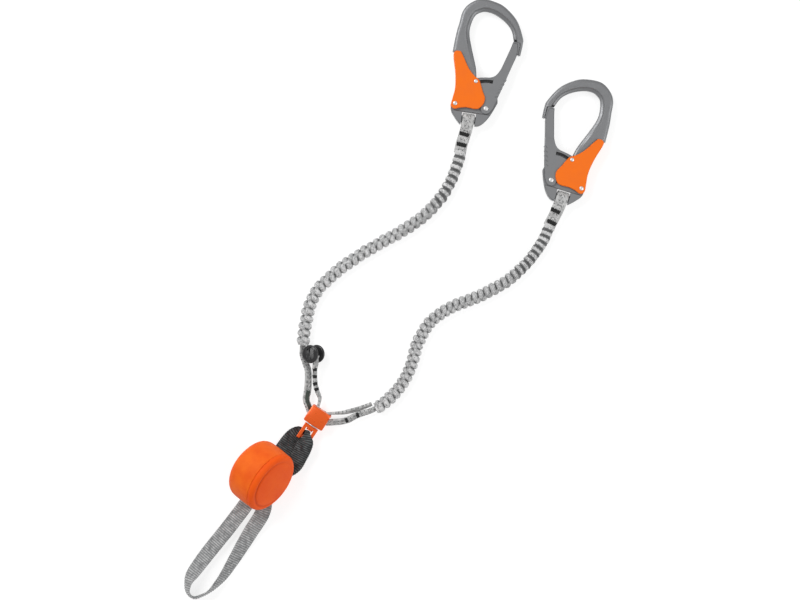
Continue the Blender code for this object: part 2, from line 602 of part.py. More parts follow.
def carabiner_meshes():
    return {
        "frame": (frame_mesh(), ALLOY, (0, 0, 0)),
        "gate": (gate_mesh(), ALLOY, (*GATE_PIVOT, 0)),
        "palm_lever": (lever_mesh(), LEVER_PLASTIC, (*LEVER_PIVOT, 0)),
        "gate_rivet": (rivet_mesh(GATE_PIVOT, GATE_RIVET_RADIUS, GATE_RIVET_HEAD_RADIUS, CHEEK_OUTER,
                                  RIVET_HEAD_THICKNESS), STEEL, (*GATE_PIVOT, 0)),
        "lever_rivet": (rivet_mesh(LEVER_PIVOT, LEVER_RIVET_RADIUS, LEVER_RIVET_HEAD_RADIUS, LEVER_OUTER,
                                   RIVET_HEAD_THICKNESS), STEEL, (*LEVER_PIVOT, 0)),
        "lock_pin": (rivet_mesh(LOCK_PIN, LOCK_PIN_RADIUS, LOCK_PIN_HEAD_RADIUS, LEVER_OUTER,
                                RIVET_HEAD_THICKNESS), STEEL, (*LEVER_PIVOT, 0)),
        "gate_spring": (gate_spring_mesh(), STEEL, (*GATE_PIVOT, 0)),
        "lever_spring": (lever_spring_mesh(), STEEL, (*LEVER_PIVOT, 0)),
    }


def place_carabiners():
    """Both carabiners from the same shapes: the right one is turned over and leans further."""
    meshes = carabiner_meshes()
    bars = {}
    for side, spot, lean, flip in (("left", LEFT_BAR, LEFT_LEAN_DEG, 0.0),
                                   ("right", RIGHT_BAR, RIGHT_LEAN_DEG, math.pi)):
        place = (Matrix.Translation((*spot, CARABINER_HEIGHT))
                 @ Matrix.Rotation(-math.radians(lean), 4, "Z") @ Matrix.Rotation(flip, 4, "Y"))
        parent = empty(f"{side}_web_bar_axis", place)
        bars[side] = place
        for name, (mesh, finish, origin) in meshes.items():
            piece(f"{side}_{name}", mesh, finish, parent, origin)
    return bars


# Arms

def arm_mesh(route, pleats):
    """The pleated sleeve: a straight plain end, a groove and a crest for each pleat, and a plain end."""
    middle = route[1:-1]
    length = np.linalg.norm(np.diff(smooth_route(middle, ARM_CREST_RADIUS), axis=0), axis=1).sum()
    points = smooth_route(middle, length / (2 * pleats))
    radii = [ARM_CREST_RADIUS if k % 2 else ARM_GROOVE_RADIUS for k in range(len(points))]
    points = np.vstack([route[0], points, route[-1]])
    radii = [ARM_PLAIN_RADIUS, *radii, ARM_PLAIN_RADIUS]
    radii[1] = radii[-2] = ARM_PLAIN_RADIUS
    points = np.column_stack([points, np.full(len(points), ARM_HEIGHT)])
    return tube(points, radii)


def carabiner_eye_mesh(place, route, arm_route):
    """Webbing sewn round the web bar: a ring and its double-thickness stem down to the arm."""
    reach = ARM_WEBBING_WIDTH / 2
    ring = moved(cylinder(EYE_OUTER_RADIUS, (-reach, 0, 0), (reach, 0, 0), RING_SIDES), place)
    past = reach + OVERRUN
    hole = moved(cylinder(EYE_INNER_RADIUS, (-past, 0, 0), (past, 0, 0), RING_SIDES), place)
    first = place @ Vector((0, -EYE_INNER_RADIUS - ARM_WEBBING_THICKNESS / 2, 0))
    arm_start, arm_next = Vector(arm_route[0]), Vector(arm_route[1])
    away = (arm_start - arm_next).normalized()
    last = arm_start + away * CLEARANCE
    plan = [first.xy, *[Vector(p) for p in route], last + away * ARM_WEBBING_WIDTH / 2, last]
    points = smooth_route([(*p, 0) for p in plan], ARM_WEBBING_WIDTH / 3)
    points[:, 2] = np.interp(np.arange(len(points)), [0, len(points) - 1], [first.z, ARM_HEIGHT])
    sides = np.column_stack([-np.gradient(points[:, 1]), np.gradient(points[:, 0]), np.zeros(len(points))])
    width = ARM_WEBBING_WIDTH - CLEARANCE
    stem = ribbon(points, width, 2 * ARM_WEBBING_THICKNESS - CLEARANCE, sides)
    return combined(combined(ring, "UNION", stem), "DIFFERENCE", hole)


def round_post(centre, bearings):
    """Points round a post of the swivel, between two bearings in degrees."""
    angles = np.radians(np.linspace(*bearings, POST_STEPS))
    return [(centre.x + POST_PATH_RADIUS * math.cos(a), centre.y + POST_PATH_RADIUS * math.sin(a))
            for a in angles]


def loop_band(route):
    """A narrow band on edge through the route; its last stretch leans over to pass between the discs."""
    points = smooth_route(route, LOOP_STEP_SHARE * LOOP_WEBBING_THICKNESS)
    apart = np.linalg.norm(points - (*BUTTON_CENTRE, BUTTON_HEIGHT), axis=1) / BUTTON_RADIUS
    share = np.clip(BUTTON_TWIST_END - apart, 0, 1)
    share[:len(points) // 2] = 0
    sides = (1 - share)[:, None] * (0, 0, 1) + share[:, None] * np.array(BUTTON_AXIS)
    return ribbon(points, LOOP_WEBBING_WIDTH, LOOP_WEBBING_THICKNESS, sides)


# Swivel

SWIVEL = (Matrix.Translation((*SWIVEL_CENTRE, SWIVEL_HEIGHT))
          @ Matrix.Rotation(math.radians(SWIVEL_TURN_DEG), 4, "Z"))


def head_mesh():
    """The block that holds both arms: two posts, each in a pocket that its webbing passes round."""
    half = Vector((HEAD_WIDTH, HEAD_LENGTH, HEAD_THICKNESS)) / 2
    mesh = box(-half, half, HEAD_CHAMFER)
    for side in (-1, 1):
        low = (side * POST_ACROSS, POST_ALONG, -POCKET_HEIGHT / 2)
        high = (side * POST_ACROSS, POST_ALONG, POCKET_HEIGHT / 2)
        pocket = cylinder(POCKET_RADIUS, low, high, POCKET_SIDES)
        post_low = (low[0], low[1], low[2] - OVERRUN)
        post_high = (high[0], high[1], high[2] + OVERRUN)
        pocket = combined(pocket, "DIFFERENCE", cylinder(POST_RADIUS, post_low, post_high, BAR_SIDES))
        mesh = combined(mesh, "DIFFERENCE", pocket)
    hole = cylinder(AXLE_RADIUS + CLEARANCE, (0, -half.y - OVERRUN, 0), (0, -half.y + AXLE_DEPTH, 0))
    bite_x, inner = half.x + HEAD_BITE_OUT, POCKET_HEIGHT / 2 - CLEARANCE
    bites = [cylinder(HEAD_BITE_RADIUS, (bite_x, POST_ALONG, face * inner),
                      (bite_x, POST_ALONG, face * (half.z + OVERRUN)), BAR_SIDES) for face in (-1, 1)]
    return combined(mesh, "DIFFERENCE", hole, *bites)


def shackle_mesh():
    """A yoke with two limbs and a round bar for the link's webbing."""
    half, bottom = SHACKLE_WIDTH / 2, YOKE_TOP - SHACKLE_LENGTH
    outer = [(-half, YOKE_TOP, 1), (-half, bottom, 1), (half, bottom, 1), (half, YOKE_TOP, 1)]
    thick = SHACKLE_THICKNESS / 2
    mesh = plate(outer, -thick, thick, SHACKLE_CHAMFER)
    inner = half - SHACKLE_LIMB
    yoke = YOKE_TOP - SHACKLE_LIMB
    window = box((-inner, bottom - OVERRUN, -thick - OVERRUN), (inner, yoke, thick + OVERRUN))
    hole = cylinder(AXLE_RADIUS + CLEARANCE, (0, YOKE_TOP + OVERRUN, 0), (0, yoke - OVERRUN, 0))
    mesh = combined(mesh, "DIFFERENCE", window, hole)
    reach = inner + SHACKLE_LIMB / 2
    along = SHACKLE_BAR_ALONG
    bar = cylinder(SHACKLE_BAR_RADIUS, (-reach, along, 0), (reach, along, 0), BAR_SIDES)
    return combined(mesh, "UNION", bar)


def axle_mesh():
    """The rivet that the shackle turns on: its shank in the head, its own head inside the shackle."""
    top = -HEAD_LENGTH / 2 + AXLE_DEPTH - CLEARANCE
    seat = YOKE_TOP - SHACKLE_LIMB - CLEARANCE
    profile = [(0, top), (AXLE_RADIUS, top), (AXLE_RADIUS, seat), (AXLE_HEAD_RADIUS, seat),
               (AXLE_HEAD_RADIUS, seat - AXLE_HEAD_THICKNESS), (0, seat - AXLE_HEAD_THICKNESS)]
    return moved(turned(profile, BAR_SIDES), Matrix.Rotation(-math.pi / 2, 4, "X"))


def washer_mesh():
    top = -HEAD_LENGTH / 2 - CLEARANCE
    bottom = top - WASHER_THICKNESS
    disc = cylinder(WASHER_RADIUS, (0, top, 0), (0, bottom, 0))
    hole = cylinder(AXLE_RADIUS + CLEARANCE, (0, top + OVERRUN, 0), (0, bottom - OVERRUN, 0))
    return combined(disc, "DIFFERENCE", hole)


# Pouch and its straps

def pouch_frame():
    """The pouch's own frame in the swivel's: Z is the pouch's axis, X its depth, Y its height."""
    tilt = math.radians(POUCH_TILT_DEG)
    axis = Vector((math.cos(tilt), 0, math.sin(tilt)))
    depth = Vector((-math.sin(tilt), 0, math.cos(tilt)))
    height = axis.cross(depth)
    turn = Matrix((depth, height, axis)).transposed().to_4x4()
    return Matrix.Translation((POUCH_ACROSS, POUCH_ALONG, POUCH_CENTRE_HEIGHT - SWIVEL_HEIGHT)) @ turn


def arc(centre, radius, first, last, steps=4):
    """Points of an arc in a profile, between two bearings in degrees."""
    angles = [math.radians(first + (last - first) * k / steps) for k in range(steps + 1)]
    return [(centre[0] + radius * math.cos(a), centre[1] + radius * math.sin(a)) for a in angles]


def oval(profile):
    """A turned profile for the pouch's half height, narrowed to its depth."""
    narrow = Matrix.Diagonal((POUCH_HALF_DEPTH / POUCH_HALF_HEIGHT, 1, 1, 1))
    return moved(turned(profile), pouch_frame() @ narrow)


def pouch_shell_mesh():
    """The soft body, open towards its lid and flat where it lies."""
    radius, back = POUCH_HALF_HEIGHT, -POUCH_LENGTH / 2
    rim = POUCH_LENGTH / 2 - LID_THICKNESS - CLEARANCE
    inside, floor = radius - POUCH_WALL, back + POUCH_BACK_WALL
    inner_round = POUCH_ROUNDING - POUCH_WALL
    profile = [(0, floor)]
    profile += arc((inside - inner_round, floor + inner_round), inner_round, -90, 0)
    profile += [(inside, rim), (radius, rim)]
    profile += arc((radius - POUCH_ROUNDING, back + POUCH_ROUNDING), POUCH_ROUNDING, 0, -90, 5)
    profile += [(0, back)]
    reach = 2 * POUCH_HALF_HEIGHT
    below = box((POUCH_ACROSS - reach, POUCH_ALONG - reach, -SWIVEL_HEIGHT - reach),
                (POUCH_ACROSS + reach, POUCH_ALONG + reach, -SWIVEL_HEIGHT))
    cutters = [below, *strap_slots(link_route()), *strap_slots(tie_route())]
    return combined(oval(profile), "DIFFERENCE", *cutters)


def pouch_lid_mesh():
    radius, top = POUCH_HALF_HEIGHT, POUCH_LENGTH / 2
    bottom = top - LID_THICKNESS
    profile = [(0, top)]
    profile += arc((radius - LID_ROUNDING, top - LID_ROUNDING), LID_ROUNDING, 90, 0)
    profile += [(radius, bottom), (0, bottom)]
    return oval(profile)


def tear_webbing_mesh():
    """Flat webbing folded to and fro inside the pouch, each fold as long as the oval allows."""
    inner_depth = POUCH_HALF_DEPTH - POUCH_WALL
    inner_height = POUCH_HALF_HEIGHT - POUCH_WALL
    low = -POUCH_LENGTH / 2 + POUCH_BACK_WALL + TEAR_WEBBING_LIFT
    high = POUCH_LENGTH / 2 - LID_THICKNESS - CLEARANCE
    turn = TEAR_WEBBING_PITCH / 2
    top_fold = inner_depth - POUCH_WALL - TEAR_WEBBING_THICKNESS
    reaches = []
    for k in range(TEAR_WEBBING_FOLDS):
        depth = top_fold - k * TEAR_WEBBING_PITCH
        share = (abs(depth) + TEAR_WEBBING_THICKNESS) / inner_depth
        reaches.append((depth, inner_height * math.sqrt(1 - share ** 2) - turn - POUCH_WALL))
    points = [(reaches[0][0], -reaches[0][1])]
    for k, (depth, reach) in enumerate(reaches):
        side = 1 if k % 2 == 0 else -1
        if k + 1 == len(reaches):
            points.append((depth, side * reach))
            break
        end = min(reach, reaches[k + 1][1])
        for bearing in FOLD_BEARINGS_DEG:
            a = math.radians(bearing)
            points.append((depth - turn + turn * math.sin(a), side * (end + turn * math.cos(a))))
    route = [(depth, along, (low + high) / 2) for depth, along in points]
    return moved(ribbon(route, high - low, TEAR_WEBBING_THICKNESS, (0, 0, 1)), pouch_frame())


def strap_slots(strap):
    """Cutters for the first and last part of a strap, a clearance larger all round."""
    points, widths, thickness, sides = strap
    grow = 2 * STRAP_CLEARANCE
    quarter = len(points) // 4
    return [ribbon(points[part], widths[part] + grow, thickness + grow, sides[part])
            for part in (slice(0, quarter), slice(-quarter, None))]


def link_route():
    """One band of webbing: up from the pouch, through the shackle over its bar and down beside itself."""
    size = LINK_WEBBING_WIDTH
    table = [(x * size, SHACKLE_BAR_ALONG + y * size, z * size, w * size) for x, y, z, w in LINK_SHARES]
    route = smooth_route(table, LINK_WEBBING_THICKNESS)
    sides = np.tile((1.0, 0.0, 0.0), (len(route), 1))
    return route[:, :3], route[:, 3], LINK_WEBBING_THICKNESS, sides


def tie_route():
    """The tie-in loop: flat where it leaves the pouch, on edge round its far turn."""
    half, rest = TIE_WEBBING_WIDTH / 2, TIE_WEBBING_THICKNESS / 2 + CLEARANCE
    table = []
    for across, along, twist, lift in TIE_SHARES:
        height = half * math.sin(math.radians(twist)) + rest + lift * TIE_LENGTH - SWIVEL_HEIGHT
        plan = (across * TIE_LENGTH, TIE_START_ALONG - along * TIE_LENGTH)
        table.append((*plan, height, math.radians(twist)))
    route = smooth_route(table, TIE_WEBBING_WIDTH / 3)
    way = np.gradient(route[:, :2], axis=0)
    way /= np.linalg.norm(way, axis=1)[:, None]
    flat, upright = np.cos(route[:, 3]), np.sin(route[:, 3])
    sides = np.column_stack([-way[:, 1] * flat, way[:, 0] * flat, upright])
    return route[:, :3], np.full(len(route), TIE_WEBBING_WIDTH), TIE_WEBBING_THICKNESS, sides


# Keeper button

BUTTON_TILT = math.radians(BUTTON_TILT_DEG)
BUTTON_AXIS = Vector((-math.sin(BUTTON_TILT), 0, math.cos(BUTTON_TILT)))


def button_frame():
    side = Vector((BUTTON_AXIS.z, 0, -BUTTON_AXIS.x))
    turn = Matrix((side, BUTTON_AXIS.cross(side), BUTTON_AXIS)).transposed().to_4x4()
    return Matrix.Translation((*BUTTON_CENTRE, BUTTON_HEIGHT)) @ turn


def button_disc_mesh(direction):
    """A dished disc with a rounded rim; its inner face is half the gap from the middle."""
    inner, outer = BUTTON_GAP / 2, BUTTON_GAP / 2 + BUTTON_DISC_THICKNESS
    rounding = BUTTON_DISC_THICKNESS / 2
    profile = [(0, outer)]
    profile += arc((BUTTON_RADIUS - rounding, inner + rounding), rounding, 90, -90, 4)
    profile += [(0, inner)]
    turn = Matrix.Rotation(0 if direction > 0 else math.pi, 4, "X")
    return moved(turned(profile), button_frame() @ turn)


def round_core():
    """Points of the webbing's path from beside the button's core to over it."""
    bend = BUTTON_CORE_RADIUS + STRAP_CLEARANCE + LOOP_WEBBING_THICKNESS / 2
    bearings = [math.radians(b) for b in CORE_BEARINGS_DEG]
    way_in = [(bend, -BUTTON_WAY_IN * BUTTON_RADIUS, 0)]
    round_it = [(bend * math.cos(b), bend * math.sin(b), 0) for b in bearings]
    return [button_frame() @ Vector(point) for point in way_in + round_it]


def button_core_mesh():
    reach = BUTTON_GAP / 2 - CLEARANCE
    return moved(cylinder(BUTTON_CORE_RADIUS, (0, 0, -reach), (0, 0, reach), BAR_SIDES), button_frame())


# Assembly

def post_centre(side):
    return SWIVEL @ Vector((side * POST_ACROSS, POST_ALONG, 0))


def sleeve_end(route):
    """Two points where the webbing leaves the arm's lower end: a clearance off its face, and straight on."""
    last, before = Vector(route[-1]), Vector(route[-2])
    away = (last - before).normalized()
    return [last + away * reach for reach in (CLEARANCE, ARM_WEBBING_WIDTH / 2)]


def raised(plan, *heights):
    """The plan's points with heights: the last of the heights holds for the rest of the points."""
    heights = list(heights) + [heights[-1]] * len(plan)
    return [(*point, height) for point, height in zip(plan, heights)]


def place_arms(bars):
    for side, route, pleats, eye_route in (
            ("left", LEFT_ARM_ROUTE, LEFT_ARM_PLEATS, LEFT_EYE_ROUTE),
            ("right", RIGHT_ARM_ROUTE, RIGHT_ARM_PLEATS, RIGHT_EYE_ROUTE)):
        piece(f"{side}_elastic_arm", arm_mesh(route, pleats), GREY_WEBBING)
        eye = carabiner_eye_mesh(bars[side], eye_route, route)
        piece(f"{side}_carabiner_eye", eye, GREY_WEBBING)
    low = SWIVEL_HEIGHT
    plan = [*sleeve_end(LEFT_ARM_ROUTE), *LEFT_LOOP_DOWN]
    route = raised(plan, *[ARM_HEIGHT] * (len(plan) - 3), low)
    route += raised(round_post(post_centre(-1), LEFT_POST_BEARINGS_DEG), low)
    route += raised(LEFT_LOOP_UP, low, low, low, low, (low + BUTTON_HEIGHT) / 2) + round_core()
    piece("left_swivel_loop", loop_band(route), GREY_WEBBING)
    route = raised([*sleeve_end(RIGHT_ARM_ROUTE), *RIGHT_LOOP_DOWN], ARM_HEIGHT, ARM_HEIGHT, low)
    route += raised(round_post(post_centre(1), RIGHT_POST_BEARINGS_DEG), low)
    route += raised(RIGHT_LOOP_UP, low)
    piece("right_swivel_loop", loop_band(route), GREY_WEBBING)


def place_swivel():
    head = empty("swivel_head_frame", SWIVEL)
    turning = empty("swivel_axis", SWIVEL)
    piece("swivel_head", head_mesh(), ORANGE_ALLOY, head)
    piece("swivel_axle", axle_mesh(), STEEL, head)
    piece("swivel_washer", washer_mesh(), STEEL, turning)
    piece("swivel_shackle", shackle_mesh(), ORANGE_ALLOY, turning)
    piece("link_webbing", ribbon(*link_route()), BLACK_WEBBING, turning)
    piece("tie_in_loop", ribbon(*tie_route()), TIE_WEBBING, turning)
    piece("pouch_shell", pouch_shell_mesh(), POUCH_FABRIC, turning)
    piece("pouch_lid", pouch_lid_mesh(), POUCH_FABRIC, turning)
    piece("tear_webbing_pack", tear_webbing_mesh(), BLACK_WEBBING, turning)


def place_button():
    piece("keeper_button_front", button_disc_mesh(1), BUTTON_PLASTIC)
    piece("keeper_button_back", button_disc_mesh(-1), BUTTON_PLASTIC)
    piece("keeper_button_core", button_core_mesh(), BUTTON_PLASTIC)


place_arms(place_carabiners())
place_swivel()
place_button()
bpy.context.view_layer.update()
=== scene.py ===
# %% [markdown]
# A via ferrata lanyard, laid out flat and seen from straight above. Two carabiners with orange palm
# levers hang on two pleated elastic arms, the arms meet at an orange swivel, and under the swivel a
# soft pouch holds the folded tear webbing and lets out the tie-in loop.
#
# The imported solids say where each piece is. This script dresses them: hard parts get rounded
# edges and forged sections, webbing gets its weave, and soft parts get folds. First come the tools that
# every later cell needs.

# %% Load the frame
import math

import bmesh
import bpy
import numpy as np
from mathutils import Matrix, Vector


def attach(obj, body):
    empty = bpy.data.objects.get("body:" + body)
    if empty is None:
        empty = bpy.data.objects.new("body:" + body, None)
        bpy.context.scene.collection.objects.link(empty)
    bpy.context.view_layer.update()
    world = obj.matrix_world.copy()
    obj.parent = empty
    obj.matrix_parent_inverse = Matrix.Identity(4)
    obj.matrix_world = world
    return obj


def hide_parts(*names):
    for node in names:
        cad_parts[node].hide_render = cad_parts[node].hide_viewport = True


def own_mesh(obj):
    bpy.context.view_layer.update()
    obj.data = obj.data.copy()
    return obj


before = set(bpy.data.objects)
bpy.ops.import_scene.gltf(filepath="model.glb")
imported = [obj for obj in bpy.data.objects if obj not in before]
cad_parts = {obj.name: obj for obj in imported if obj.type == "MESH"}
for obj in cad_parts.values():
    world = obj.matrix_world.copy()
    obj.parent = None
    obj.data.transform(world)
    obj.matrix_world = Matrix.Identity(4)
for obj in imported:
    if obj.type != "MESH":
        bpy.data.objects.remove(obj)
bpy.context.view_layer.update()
MM = 0.001

# %% [markdown]
# The photograph looks straight down on the lanyard. A long lens keeps it nearly free of perspective, so
# the camera hangs high: its height follows from the lens, the sensor and the width that the picture
# covers on the surface.

# %% Camera
PIXEL = 1.1 * MM              # what one pixel of the picture covers on the surface
PICTURE_WIDTH, PICTURE_HEIGHT = 800, 600
LENS, SENSOR = 85.0, 36.0

camera = bpy.data.objects.new("camera", bpy.data.cameras.new("camera"))
camera.data.lens, camera.data.sensor_width = LENS, SENSOR
camera.location = (0, 0, PICTURE_WIDTH * PIXEL * LENS / SENSOR)
bpy.context.scene.collection.objects.link(camera)
bpy.context.scene.camera = camera
print("camera height", round(camera.location.z, 3), "m")

# %% [markdown]
# Colours are written as the sRGB values that an eye picks from a picture. Shaders calculate with linear
# light, so one function turns them. One more function adds a shader node with its settings and links, and
# a few short ones use it for the steps that most finishes share.


# %% Colour and node helpers
def linear(hex_colour, alpha=1.0):
    """A linear colour: each sRGB channel c becomes ((c + 0.055) / 1.055) ** 2.4, or c / 12.92 near black."""
    channels = [int(hex_colour[k:k + 2], 16) / 255 for k in (1, 3, 5)]
    return (*[((c + 0.055) / 1.055) ** 2.4 if c > 0.04045 else c / 12.92 for c in channels], alpha)


def add(tree, kind, sockets=None, **settings):
    """A shader node with its settings; a socket takes a value or another node's output."""
    made = tree.nodes.new(kind)
    for name, value in settings.items():
        setattr(made, name, value)
    for name, value in (sockets or {}).items():
        if isinstance(value, bpy.types.NodeSocket):
            tree.links.new(value, made.inputs[name])
        else:
            made.inputs[name].default_value = value
    return made


def new_material(name, colour, roughness, metallic=0.0, **sockets):
    """A Principled material of one colour, as (material, tree, shader)."""
    made = bpy.data.materials.new(name)
    made.use_nodes = True
    tree = made.node_tree
    shader = tree.nodes["Principled BSDF"]
    shader.inputs["Base Color"].default_value = linear(colour)
    shader.inputs["Roughness"].default_value = roughness
    shader.inputs["Metallic"].default_value = metallic
    for socket, value in sockets.items():
        shader.inputs[socket.replace("_", " ")].default_value = value
    return made, tree, shader


def compute(tree, operation, *values):
    """The result of one step of arithmetic on numbers or outputs."""
    return add(tree, "ShaderNodeMath", dict(enumerate(values)), operation=operation).outputs[0]


def sine(tree, distance, pitch):
    """sin(2 pi distance / pitch)."""
    return compute(tree, "SINE", compute(tree, "MULTIPLY", distance, 2 * math.pi / pitch))


def carried(tree, value, start, end, low=0.0, high=1.0):
    """A number that goes from low to high while the value goes from start to end, and stays there beyond."""
    return add(tree, "ShaderNodeMapRange", {"Value": value, "From Min": start, "From Max": end,
                                            "To Min": low, "To Max": high}).outputs[0]


def blended(tree, share, first, second):
    """The first colour, which goes over to the second as the share goes from 0 to 1."""
    return add(tree, "ShaderNodeMix", {0: share, 6: first, 7: second}, data_type="RGBA").outputs[2]


def clouds(tree, place, size, detail=3.0):
    """Soft noise, 0 to 1, whose clouds have about that size."""
    noise = add(tree, "ShaderNodeTexNoise", {"Vector": place, "Scale": 1 / size, "Detail": detail})
    return noise.outputs["Fac"]


def held(tree, name):
    """The number that the mesh holds at each point under that name."""
    return add(tree, "ShaderNodeAttribute", attribute_name=name).outputs["Fac"]


def link_surface(tree, shader, colour, height, strength, depth):
    """Gives the shader its colour, and a bump from a height."""
    tree.links.new(colour, shader.inputs["Base Color"])
    bump = add(tree, "ShaderNodeBump", {"Height": height, "Strength": strength, "Distance": depth})
    tree.links.new(bump.outputs[0], shader.inputs["Normal"])


# %% [markdown]
# The floor is a plain pale sheet. A big soft light from the upper left and a weaker one from the right
# stand for the studio's softboxes, and the world fills the shadows.

# %% Floor and light
FLOOR_REACH, FLOOR_DROP = 4.0, 0.05 * MM
SOFTBOXES = [((-1.2, 1.1, 1.7), 1.2, 31.0), ((1.4, -0.3, 1.6), 1.2, 15.0)]   # place, side in metres, watts
WORLD_STRENGTH = 0.42

floor_finish, tree, shader = new_material("pale_paper", "#A8A8A8", 0.9, Emission_Color=linear("#FFFFFF"),
                                          Emission_Strength=0.72)
floor_mesh = bpy.data.meshes.new("floor")
floor_mesh.from_pydata([(x * FLOOR_REACH, y * FLOOR_REACH, -FLOOR_DROP)
                        for x, y in ((-1, -1), (1, -1), (1, 1), (-1, 1))], [], [(0, 1, 2, 3)])
floor_mesh.materials.append(floor_finish)
floor = bpy.data.objects.new("floor", floor_mesh)
bpy.context.scene.collection.objects.link(floor)

for place, size, power in SOFTBOXES:
    lamp = bpy.data.lights.new("softbox", "AREA")
    lamp.size, lamp.energy = size, power
    softbox = bpy.data.objects.new("softbox", lamp)
    softbox.location = place
    softbox.rotation_euler = (-Vector(place)).to_track_quat("-Z", "Y").to_euler()
    bpy.context.scene.collection.objects.link(softbox)

world = bpy.data.worlds.new("studio")
world.use_nodes = True
world.node_tree.nodes["Background"].inputs["Color"].default_value = linear("#FFFFFF")
world.node_tree.nodes["Background"].inputs["Strength"].default_value = WORLD_STRENGTH
bpy.context.scene.world = world
bpy.context.scene.view_settings.view_transform = "Standard"
print(len(SOFTBOXES), "softboxes")

# %% [markdown]
# Most pieces here are a cross-section carried along a path. The path is a smooth curve through a few
# measured points, and the section is a ring of points at each step. As a whole array of rings it becomes
# a mesh in one go.


# %% Surfaces from rings
def smooth_path(points, count, fine=24):
    """Even points on a Catmull-Rom curve: each stretch between two knots is the cubic
    (2b + (c - a)t + (2a - 5b + 4c - d)t^2 + (3b - a - 3c + d)t^3) / 2 of them and their neighbours."""
    knots = np.array(points, float)
    padded = np.vstack([2 * knots[0] - knots[1], knots, 2 * knots[-1] - knots[-2]])
    a, b, c, d = (padded[k:len(padded) - 3 + k, None] for k in range(4))
    t = np.linspace(0, 1, fine, endpoint=False)[None, :, None]
    curve = (2 * b + (c - a) * t + (2 * a - 5 * b + 4 * c - d) * t ** 2
             + (3 * b - a - 3 * c + d) * t ** 3) / 2
    return spaced(np.vstack([curve.reshape(-1, knots.shape[1]), knots[-1:]]), count)


def distance_along(points):
    """How far along the line each of its points is."""
    return np.concatenate([[0], np.cumsum(np.linalg.norm(np.diff(points[:, :3], axis=0), axis=1))])


def spaced(points, count):
    """The line again, as that many points an even distance apart."""
    along = distance_along(points)
    at = np.linspace(0, along[-1], count)
    return np.column_stack([np.interp(at, along, column) for column in points.T])


def unit(vectors):
    """The same directions at length 1."""
    return vectors / np.linalg.norm(vectors, axis=-1, keepdims=True)


def ramp(values, start, end):
    """0 up to start, 1 from end on, and a straight line between them; end may be the lower one."""
    return np.clip((values - start) / (end - start), 0, 1)


def piece_from(name, points, faces, finish, body, uv=None, smooth_angle=50):
    """An object at the origin with its faces turned outwards, riding on a body."""
    mesh = bpy.data.meshes.new(name)
    mesh.from_pydata(points.reshape(-1, 3).tolist(), [], faces)
    if uv is not None:
        layer = mesh.uv_layers.new(name="weave")
        layer.data.foreach_set("uv", np.ravel(uv).astype(np.float32))
    work = bmesh.new()
    work.from_mesh(mesh)
    bmesh.ops.recalc_face_normals(work, faces=work.faces)
    work.to_mesh(mesh)
    work.free()
    mesh.shade_smooth()
    mesh.set_sharp_from_angle(angle=math.radians(smooth_angle))
    mesh.materials.append(finish)
    made = bpy.data.objects.new(name, mesh)
    bpy.context.scene.collection.objects.link(made)
    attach(made, body)
    return made


def ring_faces(steps, around):
    """Quads between neighbouring rings, as corner numbers i * around + j, and one face at each end."""
    i, j = np.meshgrid(np.arange(steps - 1), np.arange(around), indexing="ij")
    following = (j + 1) % around
    quads = np.stack([i * around + j, i * around + following, (i + 1) * around + following,
                      (i + 1) * around + j], axis=-1).reshape(-1, 4)
    ends = [list(range(around))[::-1], list(range((steps - 1) * around, steps * around))]
    return quads.tolist() + ends


def ring_uv(along, across):
    """Texture places in metres for ring_faces: u runs along and v across or around the section."""
    last = across[:, -1:] + np.abs(across[:, -1:] - across[:, -2:-1])
    wide = np.concatenate([across, last], axis=1)
    corner = np.stack([np.broadcast_to(along[:, None], wide.shape), wide], axis=-1)
    quads = np.stack([corner[:-1, :-1], corner[:-1, 1:], corner[1:, 1:], corner[1:, :-1]], axis=2)
    ends = [corner[0, :-1][::-1], corner[-1, :-1]]
    return np.vstack([quads.reshape(-1, 2), *ends])


def swept(name, rings, finish, body, along=None, across=None, smooth_angle=50):
    """A closed surface from an array of rings, indexed step, place round the ring, coordinate."""
    steps, around = rings.shape[:2]
    uv = None if along is None else ring_uv(along, across)
    return piece_from(name, rings, ring_faces(steps, around), finish, body, uv, smooth_angle)


def hold(made, name, values):
    """Stores one number per point in the mesh, for its material to read."""
    layer = made.data.attributes.new(name, "FLOAT", "POINT")
    layer.data.foreach_set("value", np.asarray(values, np.float32).ravel())


print("ring helpers ready")

# %% [markdown]
# Each arm is an elastic core inside a tube of woven polyester. At rest the core gathers the tube into
# pleats. The tube has two faces, and their pleats interleave along its two edges, so that seen from the
# edge the lobes of one side sit between the lobes of the other. Near the carabiner a face looks up, and
# the tube then turns until an edge looks up. A surface in two parameters says all of that: distance
# along gives the pleats, and the angle round gives the face, the edge and the turn.
#
# The weave is polyester: satin sheen, no gloss, pale grey with short dark dashes woven in pairs, most of
# them near the edges. The real thread is about 0.3 mm, too fine for this view, so the weave is drawn
# at 0.9 mm.


# %% Woven webbing material
BAND_MIDDLE = 20 * MM         # where the middle of a flat band lies on its weave map, which stays above zero
DYE_CLOUDS, DYE_SPAN = 5 * MM, (0.25, 0.75)
WEAVE_DEPTH = 0.12 * MM
FLECK_LENGTH, FLECK_WIDTH, FLECK_RANDOMNESS = 1.5 * MM, 1.05 * MM, 0.35
FLECK_EDGE = (0.42, 0.22)     # where a fleck begins and where it is full, in cells from its middle
DASH_EDGE = (1.25 * MM, 0.5 * MM)   # the same for the dashes of a pair, as a distance
DASH_SLOPE = 0.8              # how far a dash moves along the band for its distance from the middle
DASH_STRENGTH = 0.75
# Painted shade in the arms' grooves, and their dark stripes: the colour, the span of the held mask it comes
# in over, its most
SHADE_AND_STRIPE_COLOUR, SHADE_AND_STRIPE_SPAN, SHADE_AND_STRIPE_STRENGTH = "#444546", (0.10, 0.62), 0.90


